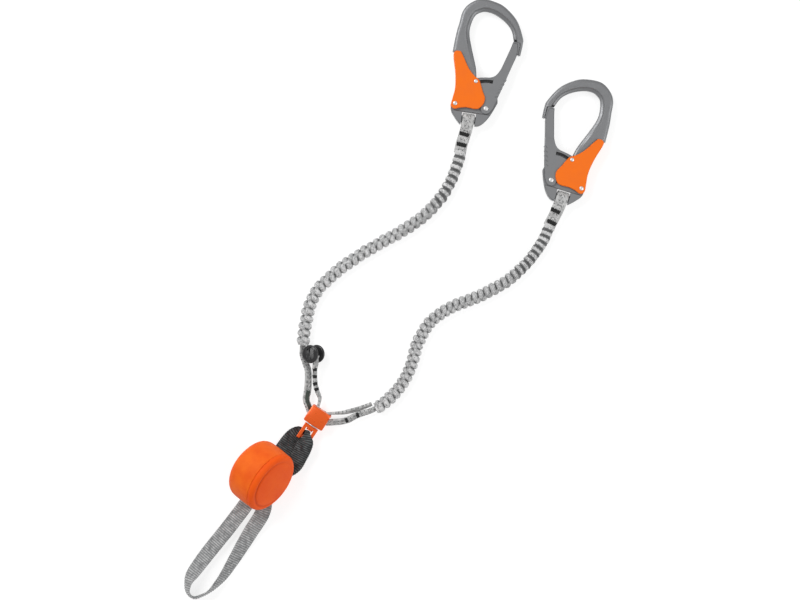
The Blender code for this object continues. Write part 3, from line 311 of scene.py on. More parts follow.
def woven(name, colour, dark, fleck_share, rib=None, thread=0.9 * MM, rough=0.85, rib_depth=0.6,
          fleck_colour="#4C4F50", edge=None, groove_shade_and_stripes=None, pairs=None, sheen=0.25):
    """Webbing on the weave map: crossed threads as bump and clouds in the dye. It may have ribs with painted
    shade in their valleys, short dark flecks, slanted dashes in pairs (their pitch along the band and their
    distance across it) and a held mask of painted shade and dark stripes. Where edge names held numbers,
    flecks follow them; where the mask argument names some, the painted shade and the stripes follow them."""
    made, tree, shader = new_material(name, colour, rough, Sheen_Weight=sheen, Sheen_Roughness=0.5)
    place = add(tree, "ShaderNodeUVMap", uv_map="weave").outputs["UV"]
    along, across, _ = add(tree, "ShaderNodeSeparateXYZ", {0: place}).outputs
    height = compute(tree, "MULTIPLY", sine(tree, along, thread), sine(tree, across, thread))
    shade = carried(tree, clouds(tree, place, DYE_CLOUDS, 4.0), *DYE_SPAN)
    tone = blended(tree, shade, linear(dark), linear(colour))
    if rib:
        # Painted shade: the valleys between the ribs are darkened towards the dark colour
        valley = carried(tree, sine(tree, along, rib), -1.0, 0.2, rib_depth, 0.0)
        tone = blended(tree, valley, tone, linear(dark))
    if fleck_share:
        stretch = add(tree, "ShaderNodeMapping", {
            "Vector": place, "Scale": (1 / FLECK_LENGTH, 1 / FLECK_WIDTH, 1)})
        cells = add(tree, "ShaderNodeTexVoronoi", {
            "Vector": stretch.outputs[0], "Scale": 1.0, "Randomness": FLECK_RANDOMNESS},
            voronoi_dimensions="2D")
        chosen = add(tree, "ShaderNodeSeparateColor", {0: cells.outputs["Color"]}).outputs[0]
        limit = compute(tree, "MULTIPLY", held(tree, edge), fleck_share) if edge else fleck_share
        fleck = compute(tree, "MULTIPLY", carried(tree, cells.outputs["Distance"], *FLECK_EDGE),
                        compute(tree, "LESS_THAN", chosen, limit))
        tone = blended(tree, fleck, tone, linear(fleck_colour))
    if pairs:
        pitch, apart = pairs
        off = compute(tree, "ABSOLUTE", compute(tree, "SUBTRACT", across, BAND_MIDDLE))
        slanted = compute(tree, "MULTIPLY_ADD", off, DASH_SLOPE, along)
        spot = add(tree, "ShaderNodeCombineXYZ", {0: compute(tree, "PINGPONG", slanted, pitch / 2),
                                                  1: compute(tree, "SUBTRACT", off, apart / 2)}).outputs[0]
        far = add(tree, "ShaderNodeVectorMath", {0: spot}, operation="LENGTH").outputs["Value"]
        tone = blended(tree, carried(tree, far, *DASH_EDGE, high=DASH_STRENGTH), tone, linear(fleck_colour))
    # Painted shade in the grooves, and dark stripes, from the mask that the points hold
    if groove_shade_and_stripes:
        shade_and_stripe_share = carried(tree, held(tree, groove_shade_and_stripes), *SHADE_AND_STRIPE_SPAN, high=SHADE_AND_STRIPE_STRENGTH)
        tone = blended(tree, shade_and_stripe_share, tone, linear(SHADE_AND_STRIPE_COLOUR))
    link_surface(tree, shader, tone, height, 0.5, WEAVE_DEPTH)
    return made


# Woven polyester: pale and matt, peppered with short dark threads, with painted shade in the grooves and dark
# stripes
ARM_WEBBING = woven("woven_polyester_arm", "#E2E2E2", "#B4B4B4", 0.85, edge="near_edge", groove_shade_and_stripes="groove_shade_and_stripes")
print("arm webbing", ARM_WEBBING.name)

# %% [markdown]
# Each arm's route is a list of places on the surface, from the carabiner to the swivel. The sizes are those
# of a relaxed arm: the tube swells to its crests and draws in at its grooves.

# %% Arm routes and sizes
ARM_HEIGHT = 7.2 * MM         # the arms' middle above the surface
CREST, GROOVE, PLAIN = 7.2 * MM, 3.3 * MM, 5.8 * MM    # radii; plain is the ungathered tube at the ends
FACE_MIDDLE_DEG, FACE_REACH_DEG = 72, 100   # a face's middle from the edge, and how far its pleats reach
REST = 0.15 * MM              # the lowest that a soft piece reaches
LEFT_ARM_ROUTE = [
    (0.0663, 0.1636), (0.0632, 0.1520), (0.0602, 0.1434), (0.0558, 0.1320), (0.0474, 0.1166),
    (0.0375, 0.1040), (0.0250, 0.0913),
    (0.0095, 0.0801), (-0.0045, 0.0717), (-0.0200, 0.0633), (-0.0369, 0.0535), (-0.0523, 0.0436),
    (-0.0663, 0.0338), (-0.0789, 0.0226), (-0.0888, 0.0128), (-0.0957, 0.0015), (-0.1000, -0.0097),
    (-0.1027, -0.0223), (-0.1046, -0.0330), (-0.1062, -0.0495)]
RIGHT_ARM_ROUTE = [
    (0.1643, 0.0826), (0.1623, 0.0787), (0.1570, 0.0668), (0.1493, 0.0548), (0.1400, 0.0425),
    (0.1293, 0.0317),
    (0.1169, 0.0209), (0.1014, 0.0117), (0.0860, 0.0039), (0.0706, -0.0023), (0.0552, -0.0085),
    (0.0428, -0.0162), (0.0320, -0.0254), (0.0243, -0.0377), (0.0181, -0.0502), (0.0151, -0.0625),
    (0.0105, -0.0763), (0.0043, -0.0887), (-0.0035, -0.0995), (-0.0118, -0.1080), (-0.0218, -0.1162),
    (-0.0268, -0.1187)]
# Where the edge of the tube looks, in degrees from up towards the arm's right, at shares of its length
LEFT_TURN = [(0, 88), (0.14, 74), (0.24, 48), (0.34, 14), (0.5, -12), (0.75, -18), (1, -8)]
RIGHT_TURN = [(0, 95), (0.16, 80), (0.3, 50), (0.45, 25), (0.62, 20), (0.8, -15), (1, -35)]
print(len(LEFT_ARM_ROUTE), "and", len(RIGHT_ARM_ROUTE), "places on the arms' routes")

# %% [markdown]
# The pleats come from the two parameters of the tube. A dark tone is held with the points: painted shade in
# the grooves, dark stripes over the pleats next to the carabiner, and a dark tone over one face where the
# tube turns.

# %% Pleated arm
RINGS_A_PLEAT, ROUND_POINTS = 24, 60
WEAVE_RADIUS = 6.5 * MM       # the tube's mean radius, which lays the weave round it
END_SHARE = 0.012             # of the length, without pleats, at each end
PLEAT_SLANT, PLEAT_SPREAD = 0.26, 0.16      # the lean of a pleat, in pleats, and how much sizes differ
GATHER = 0.14 * MM            # the height of the small gathers on a pleat
FACE_FLAT, FACE_WIDE = 0.16, 1.02           # flatter at the carabiner, wider all along
# Shares of the length: where the slant sets in, the flat start ends, the plain tube ends and flecks are full
SLANT_IN, FLAT_OUT, PLAIN_OUT, FLECKS_FULL = (0, 0.2), (0.10, 0), (0.010, 0.004), 0.25
FLECKS_LEAST, FLECKS_AWAY = 0.2, 0.4        # at the carabiner, and on the face that looks away
STRIPE_EDGE, STRIPE_RAGGED = (0.38, 0.54), 0.09   # from a pleat's middle, 0, to its end, 1
STRIPES_OUT, DUSK_IN, DUSK_OUT = (0.30, 0.21), (0.18, 0.26), (0.46, 0.34)
SHADE_STRENGTH, DUSK_STRENGTH = 0.58, 0.55


def lobes(number, from_middle):
    """How far the pleats stand out, 0 to 1: each is the ellipsoid sqrt(1 - |u|^2.2 - |v|^4), with u from -1
    to 1 along the arm over one pleat and v from -1 to 1 round it over one face."""
    u = 2 * (number - np.floor(number)) - 1
    v = (np.mod(from_middle + math.pi, 2 * math.pi) - math.pi) / math.radians(FACE_REACH_DEG)
    return np.sqrt(np.clip(1 - np.abs(u) ** 2.2 - v ** 4, 0, 1))


def pleated_arm(name, node, route, pleats, turn, seed):
    """A tube whose radius is groove + (crest - groove) * the higher of its two faces' lobes; the pleats of
    one face are half a pleat later than those of the other, so they interleave along the edges."""
    path = smooth_path(np.column_stack([route, np.full(len(route), ARM_HEIGHT)]), RINGS_A_PLEAT * pleats)
    along = distance_along(path)
    share = along[:, None] / along[-1]
    up = np.array([0.0, 0.0, 1.0])
    right = unit(np.cross(up, unit(np.gradient(path, axis=0))))
    angle = np.linspace(-math.pi, math.pi, ROUND_POINTS, endpoint=False)[None, :]
    from_edge = angle - np.radians(np.interp(share, *zip(*turn)))
    count = pleats * ramp(share, END_SHARE, 1 - END_SHARE)
    slant = -PLEAT_SLANT * np.sin(from_edge) * ramp(share, *SLANT_IN)
    random = np.random.default_rng(seed)
    sizes = 1 + PLEAT_SPREAD * (random.random((2, pleats + 3)) - 0.5)
    standing = []
    for face, offset in ((1, 0.0), (-1, 0.5)):
        number = count + offset + slant
        size = sizes[max(face, 0)][np.clip(np.floor(number).astype(int) + 1, 0, pleats + 2)]
        standing.append(lobes(number, from_edge - face * math.radians(FACE_MIDDLE_DEG)) * size)
    lobe = np.maximum(*standing)
    gathers = GATHER * np.sin(9 * angle + 4 * np.sin(5 * count)) * lobe
    plain = ramp(np.minimum(share, 1 - share), *PLAIN_OUT)
    radius = (GROOVE + (CREST - GROOVE) * lobe + gathers) * (1 - plain) + PLAIN * plain
    sideways = radius * np.sin(angle) * FACE_WIDE
    height = radius * np.cos(angle) * (1 - FACE_FLAT * ramp(share, *FLAT_OUT))
    rings = path[:, None] + sideways[..., None] * right[:, None] + height[..., None] * up
    rings[..., 2] = np.maximum(rings[..., 2], REST)
    around = np.broadcast_to(WEAVE_RADIUS * (angle + math.pi), radius.shape)
    made = swept(name, rings, ARM_WEBBING, "arms_and_swivel_head", along, around)
    fleck_share = FLECKS_AWAY + (1 - FLECKS_AWAY) * (standing[1] >= standing[0])
    hold(made, "near_edge", fleck_share * np.clip(share / FLECKS_FULL, FLECKS_LEAST, 1))
    over_pleat = np.abs(2 * np.mod(count + 0.5 + slant, 1) - 1)
    ragged = STRIPE_RAGGED * np.sin(11 * angle) * np.cos(3 * math.pi * count)
    striped = ramp(over_pleat + ragged, *STRIPE_EDGE) * ramp(share, *STRIPES_OUT)
    dusky = DUSK_STRENGTH * ramp(share, *DUSK_IN) * ramp(share, *DUSK_OUT) * (standing[1] < standing[0])
    shaded = SHADE_STRENGTH * np.maximum(striped, dusky)
    # Painted shade where the lobes fall away into the grooves, together with the stripes and the darker face
    hold(made, "groove_shade_and_stripes", np.maximum(1 - np.clip(lobe, 0, 1), shaded) * (1 - plain))
    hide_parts(node)
    print(name, "length", round(along[-1] / MM, 1), "mm,", pleats, "pleats,", len(made.data.polygons),
          "faces")


pleated_arm("left_pleated_arm", "left_elastic_arm", LEFT_ARM_ROUTE, 36, LEFT_TURN, 3)
pleated_arm("right_pleated_arm", "right_elastic_arm", RIGHT_ARM_ROUTE, 39, RIGHT_TURN, 8)

# %% [markdown]
# The carabiners, the swivel, the pouch and the button each have a frame of their own, so their pieces are
# worked out in handy directions and then set in place: across and along for a carabiner, along the axis
# for the swivel, depth, height and axis for the pouch.


# %% Frames of the parts
def placed(spot, turn_deg, over_deg=0.0):
    """A 4 by 4 place: turned about Z, after being turned over about Y, then moved to the spot."""
    return np.array(Matrix.Translation(spot) @ Matrix.Rotation(math.radians(turn_deg), 4, "Z")
                    @ Matrix.Rotation(math.radians(over_deg), 4, "Y"))


def aimed(x_axis, z_axis, spot):
    """A 4 by 4 place from the directions of its X and its Z and the spot of its origin."""
    made = np.eye(4)
    made[:3] = np.column_stack([x_axis, np.cross(z_axis, x_axis), z_axis, spot])
    return made


def to_world(place, points):
    """Points of a part's frame, in an array of any shape, as points of the scene."""
    return points @ place[:3, :3].T + place[:3, 3]


CARABINER_WIDTH, CARABINER_LENGTH, WEB_BAR_SHARE = 74.8 * MM, 139 * MM, 0.043
CARABINER_HEIGHT = 9.3 * MM
CARABINERS = {"left": placed((0.0746, 0.1972, CARABINER_HEIGHT), -8.5),
              "right": placed((0.1774, 0.1120, CARABINER_HEIGHT), -16.7, 180)}
SWIVEL_HEIGHT = 9 * MM
SWIVEL = placed((-0.0902, -0.1286, SWIVEL_HEIGHT), -33.6)
POUCH_TILT, POUCH_HEIGHT = math.radians(32), 31.5 * MM
POUCH = SWIVEL @ aimed((-math.sin(POUCH_TILT), 0, math.cos(POUCH_TILT)),
                       (math.cos(POUCH_TILT), 0, math.sin(POUCH_TILT)),
                       (-17.1 * MM, -84.0 * MM, POUCH_HEIGHT - SWIVEL_HEIGHT))
BUTTON_TILT = math.radians(30)
BUTTON_AXIS = np.array([-math.sin(BUTTON_TILT), 0, math.cos(BUTTON_TILT)])
BUTTON = aimed((BUTTON_AXIS[2], 0, -BUTTON_AXIS[0]), BUTTON_AXIS, (-94.5 * MM, -59.0 * MM, 13.5 * MM))


def in_carabiner(shares):
    """Share pairs of the carabiner's width and length as points of its frame, from the web bar."""
    return (np.array(shares, float) - (0, WEB_BAR_SHARE)) * (CARABINER_WIDTH, CARABINER_LENGTH)


print("pouch stands at", np.round(POUCH[:3, 3] / MM, 1), "mm")

# %% [markdown]
# The hard parts are forged or moulded, then tumbled, so none has a knife edge. Each takes its solid from
# the frame, merges the loose triangles into whole faces and gets a Bevel modifier on its sharp edges:
# the narrow rounded strip is what catches the light along a real edge.


# %% Hard parts with rounded edges
WELD, FLAT_ANGLE, SHARP_ANGLE = 0.002 * MM, math.radians(1.0), math.radians(32)
RUBBED_CLOUDS, CLOUD_SPAN = 9 * MM, (0.3, 0.7)
RUBBED_LESS, RUBBED_MORE = 0.06, 0.08       # of roughness, either side of the finish's own


def rounded(name, node, radius, finish, body, segments=2):
    """The solid of a node as one welded mesh with its sharp edges rounded off."""
    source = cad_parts[node].data
    mesh = bpy.data.meshes.new(name)
    points = np.empty(len(source.vertices) * 3)
    source.vertices.foreach_get("co", points)
    mesh.from_pydata(points.reshape(-1, 3).tolist(), [], [list(face.vertices) for face in source.polygons])
    work = bmesh.new()
    work.from_mesh(mesh)
    bmesh.ops.remove_doubles(work, verts=work.verts, dist=WELD)
    bmesh.ops.dissolve_limit(work, angle_limit=FLAT_ANGLE, verts=work.verts, edges=work.edges)
    work.to_mesh(mesh)
    work.free()
    mesh.shade_smooth()
    mesh.materials.append(finish)
    made = bpy.data.objects.new(name, mesh)
    bpy.context.scene.collection.objects.link(made)
    bevel = made.modifiers.new("rounding", "BEVEL")
    bevel.width, bevel.segments = radius, segments
    bevel.limit_method, bevel.angle_limit = "ANGLE", SHARP_ANGLE
    bevel.harden_normals = True
    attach(made, body)
    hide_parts(node)
    return made


def grained(name, colour, roughness, metallic, grain, depth, cloud=0.06, dark="#000000", **sockets):
    """A hard finish: fine grain as bump, slow clouds in its colour and in its roughness."""
    made, tree, shader = new_material(name, colour, roughness, metallic, **sockets)
    place = add(tree, "ShaderNodeTexCoord").outputs["Object"]
    slow = clouds(tree, place, RUBBED_CLOUDS)
    tone = blended(tree, carried(tree, slow, *CLOUD_SPAN, high=cloud), linear(colour), linear(dark))
    rubbed = carried(tree, slow, *CLOUD_SPAN, roughness - RUBBED_LESS, roughness + RUBBED_MORE)
    tree.links.new(rubbed, shader.inputs["Roughness"])
    link_surface(tree, shader, tone, clouds(tree, place, grain), 0.35, depth)
    return made


# Bead-blasted, anodised aluminium: an even mid grey with a soft sheen and no mirror
ALLOY = grained("anodised_aluminium_grey", "#8C8D8F", 0.47, 0.72, 0.5 * MM, 0.03 * MM, 0.10)
# Moulded nylon: satin, slightly uneven where the mould was textured
LEVER_NYLON = grained("moulded_nylon_orange", "#F5720C", 0.42, 0.0, 0.6 * MM, 0.03 * MM, 0.10, "#B84200",
                      Specular_IOR_Level=0.3)
# Turned stainless steel: bright, with a smooth rubbed head
STEEL = grained("stainless_steel", "#E4E4E4", 0.42, 0.9, 0.25 * MM, 0.003 * MM, 0.05)
# Clear orange anodising over polished aluminium: deeper and glossier than the nylon
ORANGE_ALLOY = grained("anodised_aluminium_orange", "#F26012", 0.30, 0.3, 0.5 * MM, 0.02 * MM, 0.12,
                       "#B03A08", Coat_Weight=0.3, Coat_Roughness=0.15)
# Moulded acetal: charcoal, glossy from handling
ACETAL = grained("moulded_acetal_charcoal", "#2E2E2F", 0.22, 0.0, 0.7 * MM, 0.001 * MM, 0.02,
                 Specular_IOR_Level=0.4)
print("hard finishes ready")

# %% [markdown]
# A forged carabiner frame isn't a flat plate. Its hook has a broad outer band with a rounded outer edge, a
# crisp ridge, and a hollowed bevel that falls to a thin inner rim, which saves weight. So the hook is a
# section carried round between two outlines: the outer curve and the inner one. The section's height is
# the lower of two curves, one read from the distance to the outer edge and one from the inner edge.

# %% Outlines of the hook
# As shares of the carabiner's width and length
OUTER = [(0.627, 0.690), (0.619, 0.737), (0.505, 0.861), (0.338, 0.945), (0.183, 0.986), (-0.056, 1.000),
         (-0.222, 0.953), (-0.311, 0.883), (-0.338, 0.784), (-0.360, 0.696), (-0.373, 0.555)]
INNER = [(0.492, 0.709), (0.436, 0.788), (0.329, 0.847), (0.172, 0.892), (0.043, 0.906), (-0.044, 0.896),
         (-0.126, 0.859), (-0.167, 0.777), (-0.162, 0.701), (-0.095, 0.590)]
OUTER_BELOW = [(-0.265, 0.550), (-0.234, 0.446), (-0.222, 0.385)]   # behind the palm lever
INNER_BELOW = [(-0.095, 0.590), (-0.005, 0.461), (0.026, 0.385)]
OUTER_MARKS, INNER_MARKS = (0, 5, 8, 10), (0, 5, 7, 9)    # knots that lie opposite each other
STRETCH_STEPS = (36, 20, 16)
# The section's half height in millimetres, against the distance in millimetres from each edge
OUTER_EDGE = [(0.0, 2.4), (0.25, 3.5), (0.7, 4.3), (1.4, 4.95), (2.4, 5.35), (3.6, 5.5), (30, 5.5)]
INNER_EDGE = [(0.0, 1.9), (0.35, 2.7), (1.0, 3.2), (2.2, 3.55), (3.2, 4.1), (3.75, 5.0), (4.1, 5.62),
              (4.6, 5.62), (5.1, 5.45), (30, 5.45)]
PLAIN_EDGE = [(0.0, 4.1), (1.4, 5.5), (30, 5.5)]
LIP = [(0.627, 0.720), (0.627, 0.669), (0.622, 0.635), (0.616, 0.603)]
LIP_INSIDE = [(0.560, 0.730), (0.586, 0.700), (0.583, 0.650), (0.579, 0.601)]
print(len(OUTER), "and", len(INNER), "knots on the hook's outlines")

# %% [markdown]
# The hook's section needs its points where it bends, so they sit at set distances from the two edges. The
# lip at the nose is a small section of its own, and the body below keeps the shape of the frame's solid.

# %% Forged hook
# Millimetres from the outer edge and from the inner edge, on the hook and on its lip
HOOK_STEPS = (0, 0.25, 0.7, 1.4, 2.4, 3.6), (5.1, 4.6, 4.1, 3.75, 3.2, 2.2, 1.0, 0.35, 0)
LIP_STEPS = (0, 0.2, 0.5, 1.0), (0.8, 0.5, 0.2, 0)
LEAST_MIDDLE = 0.4 * MM       # of the section, between the two sets of steps
CUT_SHARE = 0.388             # of the length: where the hook's section meets the body


def between(outer, inner, inner_blend, steps):
    """Rings between two outlines: at each step the section is min(outer curve, inner curve) high, and the
    inner curve goes over to a plain chamfer as inner_blend goes to 1."""
    apart = np.linalg.norm(outer - inner, axis=1)[:, None]
    near_outer, near_inner = (np.array(places) * MM for places in steps)
    squeeze = np.minimum(1, apart / (near_outer[-1] + near_inner[0] + LEAST_MIDDLE))
    from_outer, from_inner = near_outer * squeeze, apart - near_inner * squeeze
    first, last = from_outer[:, -1:], from_inner[:, :1]
    middle = first + np.linspace(0, 1, 5)[1:-1] * (last - first)
    at = np.concatenate([from_outer, middle, from_inner], axis=1)
    left = (apart - at) / squeeze / MM
    outer_height = np.interp(at / squeeze / MM, *zip(*OUTER_EDGE))
    forged = np.interp(left, *zip(*INNER_EDGE))
    plain = np.interp(left, *zip(*PLAIN_EDGE))
    height = np.minimum(outer_height, forged + (plain - forged) * inner_blend[:, None]) * MM
    spot = outer[:, None] + (inner - outer)[:, None] * (at / apart)[..., None]
    top = np.concatenate([spot, height[..., None]], axis=2)
    bottom = np.concatenate([spot, -height[..., None]], axis=2)[:, ::-1]
    return np.concatenate([top, bottom], axis=1)


def opposite(table, marks):
    """The smooth outline with the same number of steps between matching marks as its partner."""
    knots = in_carabiner(table)
    curve = smooth_path(knots, 1500)
    at = [int(np.argmin(np.linalg.norm(curve - knots[mark], axis=1))) for mark in marks]
    parts = [spaced(curve[i:j + 1], n + 1)[:-1] for i, j, n in zip(at, at[1:], STRETCH_STEPS)]
    return np.vstack([*parts, curve[at[-1]:at[-1] + 1]])


def hook_rings():
    """The hook's section carried from the nose round the bend and down the spine behind the lever."""
    outer = np.vstack([opposite(OUTER, OUTER_MARKS), smooth_path(in_carabiner(OUTER_BELOW), 10)])
    inner = np.vstack([opposite(INNER, INNER_MARKS), smooth_path(in_carabiner(INNER_BELOW), 11)[1:]])
    return between(outer, inner, ramp(np.linspace(0, 1, len(outer)), 0.70, 0.98) ** 1.3, HOOK_STEPS)


def shells(*parts):
    """Several closed surfaces as one list of points and one list of faces."""
    points, faces, count = [], [], 0
    for part_points, part_faces in parts:
        flat = part_points.reshape(-1, 3)
        points.append(flat)
        faces += [[corner + count for corner in face] for face in part_faces]
        count += len(flat)
    return np.vstack(points), faces


def lower_frame(node, place):
    """The solid below the hook, taken from the frame's own solid and cut straight across the spine."""
    work = bmesh.new()
    work.from_mesh(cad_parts[node].data)
    bmesh.ops.transform(work, matrix=Matrix(place.tolist()).inverted(), verts=work.verts)
    bmesh.ops.remove_doubles(work, verts=work.verts, dist=WELD)
    cut = float(in_carabiner([(0, CUT_SHARE)])[0, 1])
    gone = bmesh.ops.bisect_plane(work, geom=work.verts[:] + work.edges[:] + work.faces[:], dist=1e-7,
                                  plane_co=(0, cut, 0), plane_no=(0, 1, 0), clear_outer=True)
    bmesh.ops.holes_fill(work, edges=[e for e in gone["geom_cut"] if isinstance(e, bmesh.types.BMEdge)])
    bmesh.ops.dissolve_limit(work, angle_limit=FLAT_ANGLE, verts=work.verts, edges=work.edges)
    points = np.array([vertex.co for vertex in work.verts])
    work.verts.index_update()
    faces = [[vertex.index for vertex in face.verts] for face in work.faces]
    work.free()
    return points, faces


hook = hook_rings()
lip = between(smooth_path(in_carabiner(LIP), 10), smooth_path(in_carabiner(LIP_INSIDE), 10), np.ones(10),
              LIP_STEPS)
for side, place in CARABINERS.items():
    points, faces = shells(*((rings, ring_faces(*rings.shape[:2])) for rings in (hook, lip)),
                           lower_frame(f"{side}_frame", place))
    made = piece_from(f"{side}_forged_frame", to_world(place, points), faces, ALLOY, f"{side}_carabiner",
                      smooth_angle=35)
    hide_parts(f"{side}_frame")
    print(made.name, len(made.data.polygons), "faces")

# %% [markdown]
# The gate and the palm lever keep their own shapes and get rounded edges. The gate also has a stepped rim at
# its tip and a few small ribs near its pivot, which give a gloved finger hold. The lock pin's slot in the
# gate has a ledge along one half, and along the other a nearly black film that is painted shade for the
# slot's depth. A nearly black plate in the gap at the end of the hook, where the tip closes, is painted shade
# too.

# %% Gate, lever and finger ribs
GATE_PIVOT_SHARES, LOCK_PIN_SHARES = (0.230, 0.148), (0.025, 0.347)
# Both outlines leave room for the tip's swing, in shares of the carabiner's width and length
TIP_RIM = [(0.484, 0.690), (0.560, 0.600), (0.5785, 0.610), (0.5815, 0.6935), (0.560, 0.699), (0.484, 0.699)]
# The nose plate is painted shade: a nearly black plate that fills the gap between the tip and the hook's end
NOSE_SHADE_PLATE = [(0.494, 0.7085), (0.560, 0.7003), (0.5825, 0.6975), (0.600, 0.700), (0.600, 0.720),
              (0.494, 0.720)]
TIP_HALF, NOSE_SHADE_HALF = 4.7 * MM, 4.2 * MM
GATE_ROUND, LEVER_ROUND = 0.55 * MM, 0.5 * MM
RIB_COUNT, RIB_LEVEL, RIB_RADIUS = 5, 6.2 * MM, 0.55 * MM
FIRST_RIB_SHARES, RIB_STEP_SHARES = np.array([0.462, 0.392]), np.array([-0.021, -0.034])
RIB_REACH = np.array([-3.0, -1.15, 0]) * MM


def flat_plate(outline, half):
    """A plate of one thickness: the outline at the heights half and -half, joined by straight walls."""
    count = len(outline)
    points = np.vstack([np.column_stack([outline, np.full(count, z)]) for z in (-half, half)])
    walls = [[k, (k + 1) % count, (k + 1) % count + count, k + count] for k in range(count)]
    return points, [list(range(count))[::-1], list(range(count, 2 * count)), *walls]


def capsule(start, end, radius, around=10, rounding=3):
    """A bar with round ends, as (points, faces): the radius follows a quarter circle at each end."""
    way = unit(end - start)
    aside = unit(np.cross(way, (0.0, 0.0, 1.0)))
    bend = np.linspace(0.05, math.pi / 2, rounding + 1)
    length = np.linalg.norm(end - start)
    along = np.concatenate([-radius * np.cos(bend), length + radius * np.cos(bend[::-1])])
    wide = radius * np.concatenate([np.sin(bend), np.sin(bend[::-1])])
    angle = np.linspace(0, 2 * math.pi, around, endpoint=False)[:, None]
    ring = np.cos(angle) * aside + np.sin(angle) * np.cross(way, aside)
    return start + along[:, None, None] * way + wide[:, None, None] * ring, ring_faces(len(along), around)


# Painted shade: a dull, nearly black film for the depth of the slot, where no light reaches, and for the gap
# at the hook's nose
SLOT_SHADE = grained("blackened_liner", "#1E1E1F", 0.75, 0.0, 0.5 * MM, 0.02 * MM)
SLOT_LEVEL, SLOT_HALF_WIDTH, FILM_HALF, LEDGE_LIFT = 4.75 * MM, 2.3 * MM, 0.12 * MM, 0.95 * MM
SLOT_STEPS, SLOT_OVERRUN_DEG, SLOT_DEG = 24, 6, 46   # past the pin at rest, and in all
GATE_PIVOT = in_carabiner([GATE_PIVOT_SHARES])[0]
LOCK_PIN_SPOT = in_carabiner([LOCK_PIN_SHARES])[0] - GATE_PIVOT
SLOT_REACH = float(np.linalg.norm(LOCK_PIN_SPOT))
SLOT_TO = math.atan2(LOCK_PIN_SPOT[1], LOCK_PIN_SPOT[0]) + math.radians(SLOT_OVERRUN_DEG)
slot_angle = np.linspace(SLOT_TO - math.radians(SLOT_DEG), SLOT_TO, SLOT_STEPS)
slot_way = np.column_stack([np.cos(slot_angle), np.sin(slot_angle), 0 * slot_angle])
film_lift = np.array([0, 0, FILM_HALF])

for side, place in CARABINERS.items():
    gate = rounded(f"{side}_wire_gate", f"{side}_gate", GATE_ROUND, ALLOY, f"{side}_gate_body")
    lever = rounded(f"{side}_grip_lever", f"{side}_palm_lever", LEVER_ROUND, LEVER_NYLON,
                    f"{side}_lever_body", 3)
    # The nose plate is nearly black: painted shade in the gap at the hook's nose
    for kind, outline, half, finish, body, slot_name in (
            ("gate_tip_rim", TIP_RIM, TIP_HALF, ALLOY, "gate_body", "alloy"),
            ("nose_shade_plate", NOSE_SHADE_PLATE, NOSE_SHADE_HALF, SLOT_SHADE, "carabiner", "button_plastic")):
        points, faces = flat_plate(in_carabiner(outline), half)
        rim = piece_from(f"{side}_{kind}", to_world(place, points), faces, finish, f"{side}_{body}")
    for face, top_or_under in ((1, "top"), (-1, "under")):
        # The film along the slot's inner half is painted shade; the ledge along its outer half is alloy
        for kind, near, far, lift, finish, slot_name in (
                ("liner", -SLOT_HALF_WIDTH, 0.0, 0.0, SLOT_SHADE, "button_plastic"),
                ("ledge", 0.0, SLOT_HALF_WIDTH, LEDGE_LIFT, ALLOY, "alloy")):
            low, high = ((*GATE_PIVOT, face * (SLOT_LEVEL + lift)) + slot_way * (SLOT_REACH + reach)
                         for reach in (near, far))
            film = np.stack([low - film_lift, high - film_lift, high + film_lift, low + film_lift], axis=1)
            strip = swept(f"{side}_slot_{kind}_{top_or_under}", to_world(place, film), finish,
                          f"{side}_gate_body")
    starts = [np.array([*in_carabiner([FIRST_RIB_SHARES + k * RIB_STEP_SHARES])[0], face * RIB_LEVEL])
              for k in range(RIB_COUNT) for face in (1, -1)]
    points, faces = shells(*(capsule(start, start + RIB_REACH, RIB_RADIUS) for start in starts))
    ribs = piece_from(f"{side}_gate_ribs", to_world(place, points), faces, ALLOY, f"{side}_gate_body")
print("gates and levers ready, with", RIB_COUNT, "ribs on each face")

# %% [markdown]
# Rivets are turned pins whose heads were spun over, so the heads are low domes. A profile turned about its
# axis gives each: the radius and the height are functions of one parameter, and the angle is the other.


# %% Rivets and springs
def turned(profile, around=32):
    """Rings of a profile of (radius, height) pairs turned about Z."""
    angle = np.linspace(0, 2 * math.pi, around, endpoint=False)
    radius, height = np.array(profile).T
    return np.stack([radius[:, None] * np.cos(angle), radius[:, None] * np.sin(angle),
                     np.broadcast_to(height[:, None], (len(radius), around))], axis=-1)


def rivet_profile(shank, head, seat, thickness):
    """A domed head at each end of a shank; the dome is a quarter of an ellipse."""
    bend = np.linspace(0.04, math.pi / 2, 7)
    dome = [(head * math.sin(b), seat + thickness * math.cos(b)) for b in bend]
    half = [*dome, (head, seat), (shank, seat)]
    return half + [(r, -z) for r, z in reversed(half)]


def wire_rings(path, radius, around=10, up=(0.0, 0.0, 1.0)):
    """A round wire along a path; radius is one number or one per point."""
    forward = unit(np.gradient(path, axis=0))
    side = unit(np.cross(forward, up))
    over = np.cross(side, forward)
    angle = np.linspace(0, 2 * math.pi, around, endpoint=False)
    radius = np.broadcast_to(radius, len(path))[:, None, None]
    return path[:, None] + radius * (np.cos(angle)[None, :, None] * side[:, None]
                                     + np.sin(angle)[None, :, None] * over[:, None])


